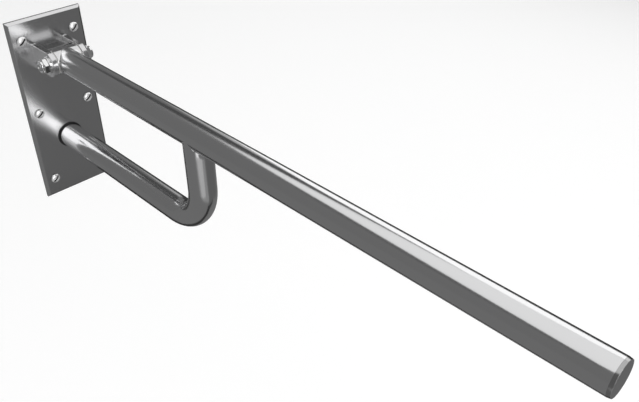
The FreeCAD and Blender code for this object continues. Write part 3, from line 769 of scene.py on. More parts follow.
def dome_head():
    """A slotted dome head along +X, its underside at zero."""
    dome = head_height - head_rim
    sphere = (head_radius ** 2 + dome ** 2) / (2 * dome)
    limit = math.asin(head_radius / sphere)
    section = [(0, 0), (0, head_radius - HEAD_EDGE), (HEAD_EDGE, head_radius)]
    section += arc(limit, 0, (head_height - sphere, 0), sphere, DOME_STEPS)
    shape = turned(section, steps=HEAD_STEPS)
    saw_slot(shape)
    for face in shape.faces:
        face.material_index = head_finish(face)
    return shape


head = dome_head()
print("dome head:", len(head.faces), "faces")

# %% [markdown]
# A thread can be faked with a stack of rings, but the eye sees at once that rings don't climb.
# This one is a real helix: one notched line, spun once with a lift of one pitch, so that each
# turn joins the next. Its two ends are cut off square, and the tip is tapered.

# %% Threaded rod
THREAD_STEPS = 32
THREAD_DEPTH_SHARE = 0.61
NOTCH_SHARES = ((0, 0), (0.06, 0), (0.44, 1), (0.56, 1), (0.94, 0))


def widen(vert, share):
    """Scale a vertex's distance from the X axis."""
    vert.co.y *= share
    vert.co.z *= share


def threaded_rod(radius, pitch, start, end, taper):
    """A rod along X with a helical thread and a tapered tip at its end."""
    shape = bmesh.new()
    depth = pitch * THREAD_DEPTH_SHARE
    first = start - pitch
    turns = math.ceil((end - start) / pitch) + 2
    points = []
    for number in range(turns):
        for along, deep in NOTCH_SHARES:
            points.append(shape.verts.new((first + (number + along) * pitch, 0, radius - depth * deep)))
    points.append(shape.verts.new((first + turns * pitch, 0, radius)))
    edges = [shape.edges.new(pair) for pair in zip(points, points[1:])]
    bmesh.ops.spin(
        shape,
        geom=points + edges,
        cent=(0, 0, 0),
        axis=(1, 0, 0),
        dvec=(pitch / THREAD_STEPS, 0, 0),
        angle=FULL_TURN,
        steps=THREAD_STEPS,
        use_merge=False,
    )
    bmesh.ops.remove_doubles(shape, verts=shape.verts, dist=MERGE_DISTANCE)
    cut(shape, (start, 0, 0), (-1, 0, 0), clear_outer=True)
    cut(shape, (end, 0, 0), (1, 0, 0), clear_outer=True)
    open_edges = [edge for edge in shape.edges if edge.is_boundary]
    bmesh.ops.holes_fill(shape, edges=open_edges, sides=0)
    for vert in shape.verts:
        out = math.hypot(vert.co.y, vert.co.z)
        room = end - vert.co.x
        limit = radius - (taper - room)
        if room < taper and out > limit:
            widen(vert, limit / out)
    bmesh.ops.recalc_face_normals(shape, faces=shape.faces)
    return shape


print(f"a thread is {THREAD_DEPTH_SHARE} of its pitch deep")

# %% [markdown]
# Each screw is a head, a plain neck through the plate and a thread behind it. The head is made
# along +X with its slot along Z, and is turned to face out of the plate. Nobody lines up six
# slots, so each one stopped a little differently, as in the photograph.

# %% Six wall screws
SLOT_TURNS = (43, 38, 41, 46, 40, 44)     # degrees from level, up the left column and then the right
SCREW_PITCH = 1 * MM
SCREW_TAPER = 1.5 * MM
NECK_STEPS = 24
NECK_DEPTH = 0.3 * MM
neck_end = 0.5 * MM
neck_radius = thread_radius - NECK_DEPTH
thread = threaded_rod(thread_radius, SCREW_PITCH, neck_end, screws_high.y, SCREW_TAPER)
neck_section = ((plate_front, 0), (plate_front, neck_radius), (neck_end, neck_radius), (neck_end, 0))
neck = turned(neck_section, steps=NECK_STEPS)
outwards = TO_RIGHT.rotation_difference(OUT_OF_WALL).to_matrix().to_4x4()
inwards = TO_RIGHT.rotation_difference(INTO_WALL).to_matrix().to_4x4()
screws = bmesh.new()
for (x, z), turn in zip(screw_places, SLOT_TURNS):
    level = Matrix.Rotation(QUARTER_TURN - math.radians(turn), 4, "Y")
    copy_into(screws, head, Matrix.Translation((x, plate_front, z)) @ level @ outwards)
    for part in (thread, neck):
        copy_into(screws, part, Matrix.Translation((x, 0, z)) @ inwards)
for part in (head, thread, neck):
    part.free()
wall_screws = finish_piece(
    "dome_head_wall_screws", screws, bright_steel, "wall_bracket", "screw_steel", "wall_screws"
)
for metal in (slot_painted_shade, head_nickel):
    wall_screws.data.materials.append(metal)

# %% [markdown]
# ## The bracket
# Two ears cut from flat bar, with round noses about the pivot. Each ear's outline is a straight
# foot and a half circle, with the bolt's hole through it. The side that faces the cross plate and
# the straight edges above and below wear the darker steel, as painted shade. On the right ear
# their rounded corners are painted darker too; on the left ear they are not, and there they shine.

# %% Ears
NOSE_STEPS = 48
EAR_EDGE = 0.5 * MM
BOLT_CLEARANCE = 0.1 * MM
# Ear faces that slope more steeply than these, up or down, get the painted shade; the right ear gets more of
# it.
LEAST_SLOPE_RIGHT = 0.3
LEAST_SLOPE_LEFT = 0.9
# The outline's own axes become the depth and the height, and its thickness lies across.
UPRIGHT = Matrix(((0, 0, 1, 0), (1, 0, 0, 0), (0, 1, 0, 0), (0, 0, 0, 1)))
ear_low, ear_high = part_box("hinge_cheek_right")
bolt_low, bolt_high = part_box("pivot_bolt")
ear_middle = (ear_low.z + ear_high.z) / 2
nose_radius = (ear_high.z - ear_low.z) / 2
bolt_radius = (bolt_high.z - bolt_low.z) / 2
ear_thickness = ear_high.x - ear_low.x
nose = arc(-QUARTER_TURN, -QUARTER_TURN - HALF_TURN, (pivot.y, ear_middle), nose_radius, NOSE_STEPS)
ear_outline = [(plate_front, ear_low.z)] + nose + [(plate_front, ear_high.z)]


def in_painted_shade(face, place):
    """Whether this face of the ear whose left side is at place wears the painted shade."""
    middle = face.calc_center_median()
    inner_side = place if place > 0 else place + ear_thickness
    least_slope = LEAST_SLOPE_RIGHT if place > 0 else LEAST_SLOPE_LEFT
    straight_edge = middle.y > pivot.y and abs(face.normal.z) > least_slope
    return straight_edge or abs(middle.x - inner_side) < NEAR


for name, place, node_name in (
    ("satin_ear_right", ear_low.x, "hinge_cheek_right"),
    ("satin_ear_left", -ear_high.x, "hinge_cheek_left"),
):
    ear_shape = cut_out(ear_outline, [(pivot.y, pivot.z, bolt_radius + BOLT_CLEARANCE)], ear_thickness)
    bmesh.ops.transform(ear_shape, matrix=Matrix.Translation((place, 0, 0)) @ UPRIGHT, verts=ear_shape.verts)
    soften(ear_shape, EAR_EDGE, segments=3)
    for face in ear_shape.faces:
        # Faces in painted shade wear the darker steel.
        face.material_index = 1 if in_painted_shade(face, place) else 0
    ear = finish_piece(name, ear_shape, plate_steel, "wall_bracket", "plate_steel", node_name)
    ear.data.materials.append(painted_shade_steel)

# %% [markdown]
# The cross plate ties the ears together, a little below their top edges. It is a plain block with
# softened edges, in the darker steel that paints the shade between the ears.

# %% Cross plate
WEB_EDGE = 0.3 * MM
web_low, web_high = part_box("hinge_web")
web_size = web_high - web_low
web_shape = bmesh.new()
bmesh.ops.create_cube(web_shape, size=1)
fit = Matrix.Translation((web_low + web_high) / 2) @ Matrix.Diagonal((*web_size, 1))
bmesh.ops.transform(web_shape, matrix=fit, verts=web_shape.verts)
soften(web_shape, WEB_EDGE, segments=3)
finish_piece("satin_cross_plate", web_shape, painted_shade_steel, "wall_bracket", "plate_steel", "hinge_web")

# %% [markdown]
# ## Bolt, washers and lock nuts
# The nut starts as a turned shape. Its two outer rings are then pushed out to a hexagon, and each
# point is lowered by how far it lies beyond the flats. This is what turning a real hexagon bar
# does: it leaves the curved edge that every nut has under its corners. Above the hexagon stands
# the round collar that holds the nylon, and its rim is rolled over in four small steps.

# %% Lock nut
NUT_STEPS = 96
CORNER_SLOPE = math.tan(math.radians(28))
NUT_ACROSS_FLATS = 17 * MM
NUT_RING_EDGE = 0.3 * MM
NUT_CHAMFER = 0.1 * MM
COLLAR_FOOT = 0.3 * MM
COLLAR_STEP = 0.9 * MM
LIP_REACH = 0.3 * MM
# The collar's rim: how far below the top, and how far in from the side.
COLLAR_RIM = ((1.2 * MM, 0), (0.6 * MM, 0.12 * MM), (0.2 * MM, 0.45 * MM), (0, 0.8 * MM))
washers_low, washers_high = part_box("pivot_washers")
nut_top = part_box("pivot_nuts")[1].x
nut_seat = washers_high.x
nut_length = nut_top - nut_seat
nut_flat = NUT_ACROSS_FLATS / 2
nut_height = 5.8 * MM
collar_radius = nut_flat - COLLAR_STEP
collar_wall = 1 * MM
collar_lip = 0.6 * MM
lip_radius = collar_radius - collar_wall - LIP_REACH


def to_hexagon(vert, flat):
    """Push a vertex from a hexagon's inner circle out to its side, and say by how far."""
    out = math.hypot(vert.co.y, vert.co.z)
    sector = FULL_TURN / 6
    angle = math.atan2(vert.co.z, vert.co.y)
    reach = flat / math.cos((angle % sector) - sector / 2)
    widen(vert, reach / out)
    return reach - flat


def lock_nut():
    """A nut along +X, its seat at zero."""
    section = [
        (0, bolt_radius),
        (0, nut_flat - NUT_RING_EDGE),
        (NUT_CHAMFER, nut_flat),
        (nut_height - NUT_CHAMFER, nut_flat),
        (nut_height, nut_flat - NUT_RING_EDGE),
        (nut_height + COLLAR_FOOT, collar_radius),
    ]
    section += [(nut_length - below, collar_radius - inside) for below, inside in COLLAR_RIM]
    section += [
        (nut_length, lip_radius),
        (nut_length - collar_lip, lip_radius),
        (nut_length - collar_lip, collar_radius - collar_wall),
        (nut_height, collar_radius - collar_wall),
        (nut_height, bolt_radius),
    ]
    shape = turned(section, closed=True, steps=NUT_STEPS)
    for vert in shape.verts:
        if abs(math.hypot(vert.co.y, vert.co.z) - nut_flat) < NEAR:
            drop = to_hexagon(vert, nut_flat) * CORNER_SLOPE
            vert.co.x += drop if vert.co.x < nut_height / 2 else -drop
    return shape


nut = lock_nut()
print("lock nut:", len(nut.faces), "faces")

# %% [markdown]
# Both nuts are one shape, and the left one is turned half round to face the other way. It is
# also turned a little on its thread, because two nuts never stop with their flats in line. The
# nylon ring fills the space under the collar's lip.

# %% Lock nuts with their nylon rings
NUT_TURN = math.radians(18)
RING_SIDE_EDGE = 0.2 * MM
RING_BORE_EDGE = 0.3 * MM
ring_top = nut_length - collar_lip
ring_shape = turned(
    (
        (nut_height, bolt_radius),
        (nut_height, collar_radius - collar_wall),
        (ring_top - RING_SIDE_EDGE, collar_radius - collar_wall),
        (ring_top, lip_radius),
        (ring_top, bolt_radius + RING_BORE_EDGE),
        (ring_top - RING_BORE_EDGE, bolt_radius),
    ),
    closed=True,
)


def facing(side):
    """Turns a shape made along +X to the right (1) or to the left (-1)."""
    return Matrix.Rotation(0 if side > 0 else HALF_TURN, 4, "Z")


nuts = bmesh.new()
rings = bmesh.new()
for side, angle in ((1, 0), (-1, NUT_TURN)):
    seat = at_pivot @ Matrix.Translation(TO_RIGHT * side * nut_seat) @ facing(side)
    copy_into(nuts, nut, seat @ Matrix.Rotation(angle, 4, "X"))
    copy_into(rings, ring_shape, seat)
nut.free()
ring_shape.free()
finish_piece("lock_nuts", nuts, bright_steel, "wall_bracket", "screw_steel", "pivot_nuts")
finish_piece("nylon_lock_rings", rings, nylon, "wall_bracket", "lock_plastic", "nut_inserts")

# %% [markdown]
# The washers are stamped, so the side that the punch came in from is rounded over. One section,
# turned once and copied to both sides, is enough.

# %% Washers
WASHER_ROUND = 0.5 * MM
WASHER_STEP = 0.15 * MM
washer_bottom = ear_high.x
washer_radius = (washers_high.z - washers_low.z) / 2
washer_shape = turned(
    (
        (washer_bottom, bolt_radius + BOLT_CLEARANCE),
        (washer_bottom, washer_radius),
        (nut_seat - WASHER_ROUND, washer_radius),
        (nut_seat - WASHER_STEP, washer_radius - WASHER_STEP),
        (nut_seat, washer_radius - WASHER_ROUND),
        (nut_seat, bolt_radius + BOLT_CLEARANCE),
    ),
    closed=True,
)
washers = bmesh.new()
for side in (1, -1):
    copy_into(washers, washer_shape, at_pivot @ facing(side))
washer_shape.free()
finish_piece("stamped_washers", washers, bright_steel, "wall_bracket", "screw_steel", "pivot_washers")

# %% [markdown]
# The bolt is a plain shank between two threaded ends, and each end keeps the small centre hole
# from the lathe: it shows as the dark dot in the photograph. To drill it we take the end face
# away, bridge its rim to a smaller circle, and draw that circle inwards to a narrow tip.

# %% Pivot bolt
BOLT_PITCH = 1.5 * MM
BOLT_TAPER = 0.8 * MM
SHANK_STEPS = 48
CENTRE_TIP_SHARE = 0.2
centre_radius = 1.25 * MM
centre_depth = 2 * MM
shank_end = washer_bottom
bolt_end = bolt_high.x


def drill_centre(rod, end):
    """Drill a turning centre into the end of a rod along X."""
    end_face = [face for face in rod.faces if all(abs(vert.co.x - end) < NEAR for vert in face.verts)]
    bmesh.ops.delete(rod, geom=end_face, context="FACES")
    rim = [edge for edge in rod.edges if edge.is_boundary and edge.verts[0].co.x > end - NEAR]
    dimple = bmesh.ops.create_circle(
        rod,
        cap_ends=False,
        segments=THREAD_STEPS,
        radius=centre_radius,
        matrix=Matrix.Translation((end, 0, 0)) @ Matrix.Rotation(QUARTER_TURN, 4, "Y"),
    )["verts"]
    dimple_edges = edges_of(dimple)
    bmesh.ops.bridge_loops(rod, edges=rim + dimple_edges)
    deep = bmesh.ops.extrude_edge_only(rod, edges=dimple_edges)["geom"]
    bottom = [item for item in deep if isinstance(item, bmesh.types.BMVert)]
    for vert in bottom:
        vert.co.x = end - centre_depth
        widen(vert, CENTRE_TIP_SHARE)
    bmesh.ops.contextual_create(rod, geom=bottom)
    bmesh.ops.recalc_face_normals(rod, faces=rod.faces)


shank_section = ((-shank_end, 0), (-shank_end, bolt_radius), (shank_end, bolt_radius), (shank_end, 0))
shank = turned(shank_section, steps=SHANK_STEPS)
end_thread = threaded_rod(bolt_radius, BOLT_PITCH, shank_end, bolt_end, BOLT_TAPER)
drill_centre(end_thread, bolt_end)
bolt = bmesh.new()
copy_into(bolt, shank, at_pivot)
for side in (1, -1):
    copy_into(bolt, end_thread, at_pivot @ facing(side))
shank.free()
end_thread.free()
finish_piece("pivot_bolt_threaded", bolt, bright_steel, "wall_bracket", "screw_steel", "pivot_bolt")

# %% [markdown]
# ## Bearings and the bumper
# The flanged bearings keep steel off steel. Only their thin flanges show, in the gap between the
# barrel and the ears, but from behind and with the bar folded up they can be seen, so they are
# turned to their real section.

# %% Bearings
BUSH_EDGE = 0.3 * MM
RUNNING_FIT = 0.05 * MM
bush_low, bush_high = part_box("barrel_bush_right")
bush_flange = (bush_high.z - bush_low.z) / 2
bush_seat = tube_radius - barrel_wall - PUSH_FIT
bush_bore = bolt_radius + RUNNING_FIT
for side, name, node_name in (
    (1, "flanged_bearing_right", "barrel_bush_right"),
    (-1, "flanged_bearing_left", "barrel_bush_left"),
):
    bush_shape = turned(
        (
            (bush_low.x, bush_bore),
            (bush_high.x, bush_bore),
            (bush_high.x, bush_flange),
            (barrel_high.x, bush_flange),
            (barrel_high.x, bush_seat),
            (bush_low.x, bush_seat),
        ),
        closed=True,
    )
    soften(bush_shape, BUSH_EDGE)
    bmesh.ops.transform(bush_shape, matrix=at_pivot @ facing(side), verts=bush_shape.verts)
    finish_piece(name, bush_shape, bearing_plastic, "arm", "bearing_plastic", node_name)

# %% [markdown]
# The rubber bumper is a plug: its spigot sits in the end of the brace, and its rounded rim rests
# on the plate. It comes into sight as soon as the bar is lifted. Its section starts at the bore,
# runs out and round the rim in two quarter rounds, and comes back down the screw's sunk seat.

# %% Rubber bumper
ROUND_STEPS = 6
BUMPER_STEPS = 96
SEAT_FLARE = 0.3 * MM
SEAT_DEPTH = 0.2 * MM
bumper_low, bumper_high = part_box("wall_bumper")
bumper_screw_low, bumper_screw_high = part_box("bumper_screw")
brace_axis = Vector((0, 0, brace_height))
bumper_radius = bumper_high.x
bumper_round = 0.5 * MM
spigot_radius = tube_radius - tube_wall - PUSH_FIT
rim_foot = brace_high.y
sunk_head_radius = bumper_screw_high.x
sunk_shank_radius = 2.5 * MM
screw_face = bumper_screw_high.y
head_foot = screw_face - (sunk_head_radius - sunk_shank_radius)
rim_centre = bumper_radius - bumper_round
first_round = (rim_foot + bumper_round, rim_centre)
second_round = (bumper_high.y - bumper_round, rim_centre)
bumper_section = [
    (bumper_low.y, sunk_shank_radius),
    (bumper_low.y, spigot_radius),
    (rim_foot, spigot_radius),
]
bumper_section += arc(HALF_TURN, QUARTER_TURN, first_round, bumper_round, ROUND_STEPS)
bumper_section += arc(QUARTER_TURN, 0, second_round, bumper_round, ROUND_STEPS)
bumper_section += [
    (bumper_high.y, sunk_head_radius + SEAT_FLARE),
    (bumper_high.y - SEAT_DEPTH, sunk_head_radius),
    (screw_face, sunk_head_radius),
    (head_foot, sunk_shank_radius),
]
bumper_shape = turned(bumper_section, closed=True, steps=BUMPER_STEPS)
stand(bumper_shape, brace_axis, INTO_WALL)
finish_piece("rubber_wall_bumper", bumper_shape, rubber, "arm", "bumper_rubber", "wall_bumper")

# %% [markdown]
# Behind the rubber, a threaded disc is fixed in the brace and takes the screw. It hardly ever
# shows, but it is what makes the bumper a thing that can be replaced.

# %% Threaded disc
DISC_EDGE = 0.3 * MM
insert_low, insert_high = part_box("brace_insert")
insert_shape = turned(
    (
        (insert_low.y, sunk_shank_radius),
        (insert_low.y, insert_high.x),
        (insert_high.y, insert_high.x),
        (insert_high.y, sunk_shank_radius),
    ),
    closed=True,
)
soften(insert_shape, DISC_EDGE)
stand(insert_shape, brace_axis, INTO_WALL)
finish_piece("threaded_brace_disc", insert_shape, bright_steel, "arm", "screw_steel", "brace_insert")

# %% [markdown]
# The screw's cone sits flush in the rubber, and a six-sided socket takes the key. The socket is
# turned round like the rest, and its ring is then pushed out to a hexagon, as the nut's was.

# %% Sunk screw
SOCKET_STEPS = 48
SOCKET_ACROSS_FLATS = 3 * MM
SHANK_TIP = 0.4 * MM
SUNK_HEAD_EDGE = 0.15 * MM
SOCKET_POINT = 0.4 * MM
socket_flat = SOCKET_ACROSS_FLATS / 2
socket_depth = 1.4 * MM
screw_shape = turned(
    (
        (bumper_screw_low.y, 0),
        (bumper_screw_low.y, sunk_shank_radius - SHANK_TIP),
        (bumper_screw_low.y + SHANK_TIP, sunk_shank_radius),
        (head_foot, sunk_shank_radius),
        (screw_face - SUNK_HEAD_EDGE, sunk_head_radius),
        (screw_face, sunk_head_radius - SUNK_HEAD_EDGE),
        (screw_face, socket_flat),
        (screw_face - socket_depth, socket_flat),
        (screw_face - socket_depth - SOCKET_POINT, 0),
    ),
    steps=SOCKET_STEPS,
)
for vert in screw_shape.verts:
    on_socket = abs(math.hypot(vert.co.y, vert.co.z) - socket_flat) < NEAR
    if on_socket and vert.co.x > head_foot:
        to_hexagon(vert, socket_flat)
stand(screw_shape, brace_axis, INTO_WALL)
finish_piece("sunk_bumper_screw", screw_shape, bright_steel, "arm", "screw_steel", "bumper_screw")

# %% [markdown]
# ## Welds
# The joints of this bar were welded and then dressed by hand, so each one is a smooth hollow that
# runs out into both tubes. In section it is a curve that leaves one tube along its side and meets
# the other along its side. We turn that section once round the branch, and then slide each point
# to the saddle line by the same fish-mouth rule as before. The hollow is widest where the tubes
# cross squarely, and dies away where they run side by side.

# %% Saddle weld
WELD_STEPS = 240
HOLLOW_STEPS = 8
RIPPLES = 84
RIPPLE_SHARE = 0.035
FADE_POWER = 0.8
WELD_ROOT = 0.4 * MM


def saddle_weld(leg):
    """A dressed weld round a branch along +X that meets a tube along Z of the same radius."""
    section = [(-WELD_ROOT, tube_radius - WELD_ROOT)]
    for number in range(HOLLOW_STEPS + 1):
        share = number / HOLLOW_STEPS
        section.append((leg * (1 - share) ** 2, tube_radius + leg * share ** 2))
    shape = turned(section, closed=True, steps=WELD_STEPS)
    for vert in shape.verts:
        out = math.hypot(vert.co.y, vert.co.z)
        across = vert.co.y / out
        along = vert.co.z / out
        saddle_point = Vector((abs(along), across, along)) * tube_radius
        if vert.co.x < 0:
            # The root lies inside both tubes.
            inwards = Vector((abs(along), 2 * across, along)).normalized()
            vert.co = saddle_point - inwards * WELD_ROOT
        else:
            ripple = 1 + RIPPLE_SHARE * math.sin(RIPPLES * math.atan2(along, across))
            size = abs(along) ** FADE_POWER * ripple
            up_branch = vert.co.x * size
            along_tube = math.copysign((out - tube_radius) * size, along)
            vert.co = saddle_point + Vector((up_branch, 0, along_tube))
    return shape


print("a weld has", HOLLOW_STEPS, "steps in its hollow and", RIPPLES, "ripples round it")

# %% [markdown]
# The same helper makes both welds. At the barrel the branch is the bar, and the weld is ground
# back so that it clears the ears. At the brace the branch is the leg, and the bead is smaller.

# %% Barrel weld and brace weld
BARREL_WELD_LEG = 2.5 * MM
BRACE_WELD_LEG = 1.2 * MM
WELD_CLEARANCE = 0.9 * MM
# The branch runs along -Y and the tube along X.
BAR_ON_BARREL = Matrix(((0, 0, 1, 0), (-1, 0, 0, 0), (0, 1, 0, 0), (0, 0, 0, 1)))
# The branch runs along -Z and the tube along Y.
LEG_UNDER_BAR = Matrix(((0, -1, 0, 0), (0, 0, 1, 0), (-1, 0, 0, 0), (0, 0, 0, 1)))
bar_weld = saddle_weld(BARREL_WELD_LEG)
bmesh.ops.transform(bar_weld, matrix=at_pivot @ BAR_ON_BARREL, verts=bar_weld.verts)
weld_limit = ear_low.x - WELD_CLEARANCE
for vert in bar_weld.verts:
    vert.co.x = max(-weld_limit, min(weld_limit, vert.co.x))
finish_piece("barrel_weld_dressed", bar_weld, weld_steel, "arm", "weld_steel", "barrel_weld")

leg_weld = saddle_weld(BRACE_WELD_LEG)
leg_top = Matrix.Translation((0, leg_reach, pivot.z))
bmesh.ops.transform(leg_weld, matrix=leg_top @ LEG_UNDER_BAR, verts=leg_weld.verts)
finish_piece("brace_weld_dressed", leg_weld, weld_steel, "arm", "weld_steel", "brace_weld")

# %% [markdown]
# The beads at the foot of the ears weren't dressed. They run along three sides of each foot, and
# a bead of weld is a row of ripples, each a short step further on. So a route of evenly spaced
# points comes first, with its corners rounded.

# %% Route of a bead
CORNER_STEPS = 8


def evenly(corners, spacing, round_radius):
    """Points at an even spacing along straight legs whose square corners are rounded."""
    points = []
    for number in range(len(corners) - 1):
        start, end = corners[number], corners[number + 1]
        is_last = number == len(corners) - 2
        heading = (end - start).normalized()
        first = start + heading * (round_radius if number else 0)
        last = end - heading * (0 if is_last else round_radius)
        count = max(2, round((last - first).length / spacing))
        points += [first.lerp(last, step / count) for step in range(count + 1)]
        if not is_last:
            after = (corners[number + 2] - end).normalized()
            centre = end - heading * round_radius + after * round_radius
            for step in range(1, CORNER_STEPS):
                angle = QUARTER_TURN * step / CORNER_STEPS
                outwards = heading * round_radius * math.sin(angle) - after * round_radius * math.cos(angle)
                points.append(centre + outwards)
    return points


print("each corner of a route is rounded in", CORNER_STEPS, "steps")

# %% [markdown]
# A ring of vertices is then carried along the route, point by point, and bridged to the one
# before. Its size ripples as it goes, and it tapers in at both ends, where the welder started
# and stopped. What would lie inside the plate is cut off.

# %% Foot beads
FOOT_SIDES = 12
FOOT_RADIUS = 0.8 * MM
FOOT_SPACING = 0.22 * MM
FOOT_RIPPLE = 1.1 * MM
FOOT_CORNER = 0.6 * MM
FOOT_SINK = 0.3 * MM
TAPER_POINTS = 5
TAPER_START = 0.35


def bead_along(route, radius):
    """A rippled round bead along a route of points."""
    shape = bmesh.new()
    edges_before = None
    travelled = 0
    last = len(route) - 1
    for number, point in enumerate(route):
        before = route[max(number - 1, 0)]
        after = route[min(number + 1, last)]
        travelled += (point - before).length
        ripple = 1 + RIPPLE_SHARE * math.sin(FULL_TURN * travelled / FOOT_RIPPLE)
        points_from_end = min(number, last - number)
        end_share = min(1, (points_from_end + TAPER_START) / TAPER_POINTS)
        turn = UP.rotation_difference((after - before).normalized()).to_matrix().to_4x4()
        ring = bmesh.ops.create_circle(
            shape,
            cap_ends=number in (0, last),
            segments=FOOT_SIDES,
            radius=radius * ripple * math.sqrt(end_share),
            matrix=Matrix.Translation(point) @ turn,
        )["verts"]
        edges = edges_of(ring)
        if edges_before:
            bmesh.ops.bridge_loops(shape, edges=edges_before + edges)
        edges_before = edges
    return shape


foot_beads = bmesh.new()
for side in (-1, 1):
    inner = side * (ear_low.x + FOOT_RADIUS)
    outer = side * ear_high.x
    foot = ((inner, ear_low.z), (outer, ear_low.z), (outer, ear_high.z), (inner, ear_high.z))
    corners = [Vector((x, plate_front, z)) for x, z in foot]
    bead = bead_along(evenly(corners, FOOT_SPACING, FOOT_CORNER), FOOT_RADIUS)
    cut(bead, (0, plate_front + FOOT_SINK, 0), (0, 1, 0), clear_outer=True)
    bmesh.ops.holes_fill(bead, edges=[edge for edge in bead.edges if edge.is_boundary], sides=0)
    copy_into(foot_beads, bead, Matrix.Identity(4))
    bead.free()
finish_piece("ear_foot_beads", foot_beads, plate_steel, "wall_bracket", "weld_steel", "cheek_welds")

# %% [markdown]
# ## The camera
# The photograph was taken from above the left of the free end, with a lens that is a little
# long. The camera's place, direction and lens were worked out from the edges of the tubes and
# the plate, so that they fall where they do in the photograph.

# %% Camera
CAMERA_PLACE = Vector((-0.37161, -0.85715, 0.44612))
CAMERA_BACK = Vector((-0.5811, -0.5794, 0.5715)).normalized()
CAMERA_LENS = 40.77
SENSOR_WIDTH = 36

camera_data = bpy.data.cameras.new("camera")
camera_data.lens = CAMERA_LENS
camera_data.sensor_width = SENSOR_WIDTH
camera = bpy.data.objects.new("camera", camera_data)
bpy.context.scene.collection.objects.link(camera)
camera_right = UP.cross(CAMERA_BACK).normalized()
camera_up = CAMERA_BACK.cross(camera_right)
turn = Matrix((camera_right, camera_up, CAMERA_BACK)).transposed()
camera.matrix_world = Matrix.Translation(CAMERA_PLACE) @ turn.to_4x4()
bpy.context.scene.camera = camera
print("camera at", tuple(round(x, 3) for x in CAMERA_PLACE))

# %% [markdown]
# ## The studio
# Bright metal has no colour of its own: it shows the room. On a white ground it would vanish,
# so a photographer hangs grey cards just outside the picture, which draw the dark sides and dark
# edges of the tubes, and lets a few large soft lights in between them, which draw the long
# bright bands. We do the same. First comes the white ground: a floor that stays white to the
# eye but is plain grey paint to every other ray, so that it keeps the object's shadow.

# %% Floor
FLOOR_DROP = 0.75
FLOOR_END = 7
FLOOR_PAINT = (0.82, 0.82, 0.82, 1)
FLOOR_ROUGHNESS = 0.9
FLOOR_BOOST = 0.25
WHITE = (1, 1, 1, 1)


def seen_directly(tree):
    """1 for rays from the camera and for those that metal or glass sends on, 0 for the rest."""
    path = tree.nodes.new("ShaderNodeLightPath")
    total = path.outputs["Is Camera Ray"]
    for name in ("Is Glossy Ray", "Is Transmission Ray"):
        either = node(tree, "ShaderNodeMath", operation="MAXIMUM")
        tree.links.new(total, either.inputs[0])
        tree.links.new(path.outputs[name], either.inputs[1])
        total = either.outputs["Value"]
    return total


floor_material, tree, surface = new_material("white floor")
surface.inputs["Base Color"].default_value = FLOOR_PAINT
surface.inputs["Roughness"].default_value = FLOOR_ROUGHNESS
surface.inputs["Specular IOR Level"].default_value = 0
surface.inputs["Emission Color"].default_value = WHITE
boost = ramp(tree, seen_directly(tree), 0, FLOOR_BOOST)
tree.links.new(boost, surface.inputs["Emission Strength"])

floor_shape = bmesh.new()
bmesh.ops.create_grid(floor_shape, x_segments=1, y_segments=1, size=FLOOR_END)
bmesh.ops.translate(floor_shape, verts=floor_shape.verts, vec=(0, 0, -FLOOR_DROP))
floor_mesh = bpy.data.meshes.new("floor")
floor_shape.to_mesh(floor_mesh)
floor_shape.free()
floor_mesh.materials.append(floor_material)
floor = bpy.data.objects.new("floor", floor_mesh)
bpy.context.scene.collection.objects.link(floor)
print("floor at", -FLOOR_DROP, "m,", 2 * FLOOR_END, "m wide")

# %% [markdown]
# The world beyond the floor is white too, and a little dimmer where it only lights the object.

# %% World
WORLD_LEVEL = 0.7
world = bpy.data.worlds.new("white studio")
bpy.context.scene.world = world
world.use_nodes = True
background = world.node_tree.nodes["Background"]
background.inputs["Color"].default_value = WHITE
level = ramp(world.node_tree, seen_directly(world.node_tree), WORLD_LEVEL, 1)
world.node_tree.links.new(level, background.inputs["Strength"])
print("world lights the object at", WORLD_LEVEL)

# %% [markdown]
# A card and a soft light are the same thing here: a flat sheet with a plain even glow, dim for a
# card and bright for a light. A real sheet would hide what lies behind it and throw a shadow, so
# ours are out of the camera's sight and throw none.

# %% Hang a card
def glow(name, level):
    """A plain even light."""
    material = bpy.data.materials.new(name)
    material.use_nodes = True
    tree = material.node_tree
    tree.nodes.clear()
    light = node(tree, "ShaderNodeEmission", Color=WHITE, Strength=level)
    output = tree.nodes.new("ShaderNodeOutputMaterial")
    tree.links.new(light.outputs["Emission"], output.inputs["Surface"])
    return material


def hang(name, shape, level, lights_floor):
    """Put a card or a light in the studio, out of the camera's sight."""
    mesh = bpy.data.meshes.new(name)
    shape.to_mesh(mesh)
    shape.free()
    mesh.materials.append(glow(name, level))
    card = bpy.data.objects.new(name, mesh)
    bpy.context.scene.collection.objects.link(card)
    card.visible_camera = False
    card.visible_diffuse = lights_floor
    card.visible_shadow = False


def panel(name, level, lights_floor, corners):
    """A flat card or light from its corners, in metres."""
    shape = bmesh.new()
    shape.faces.new([shape.verts.new(corner) for corner in corners])
    hang(name, shape, level, lights_floor)


print("cards and lights are hidden from the camera only")

# %% [markdown]
# The undersides and the near sides of the tubes mirror the floor, so cards lie on it as well.
# Their outlines were found by following a reflected ray from each dark or bright band of the
# photograph down to the floor. Each card lies a centimetre over the one before, so the last one
# named is on top.

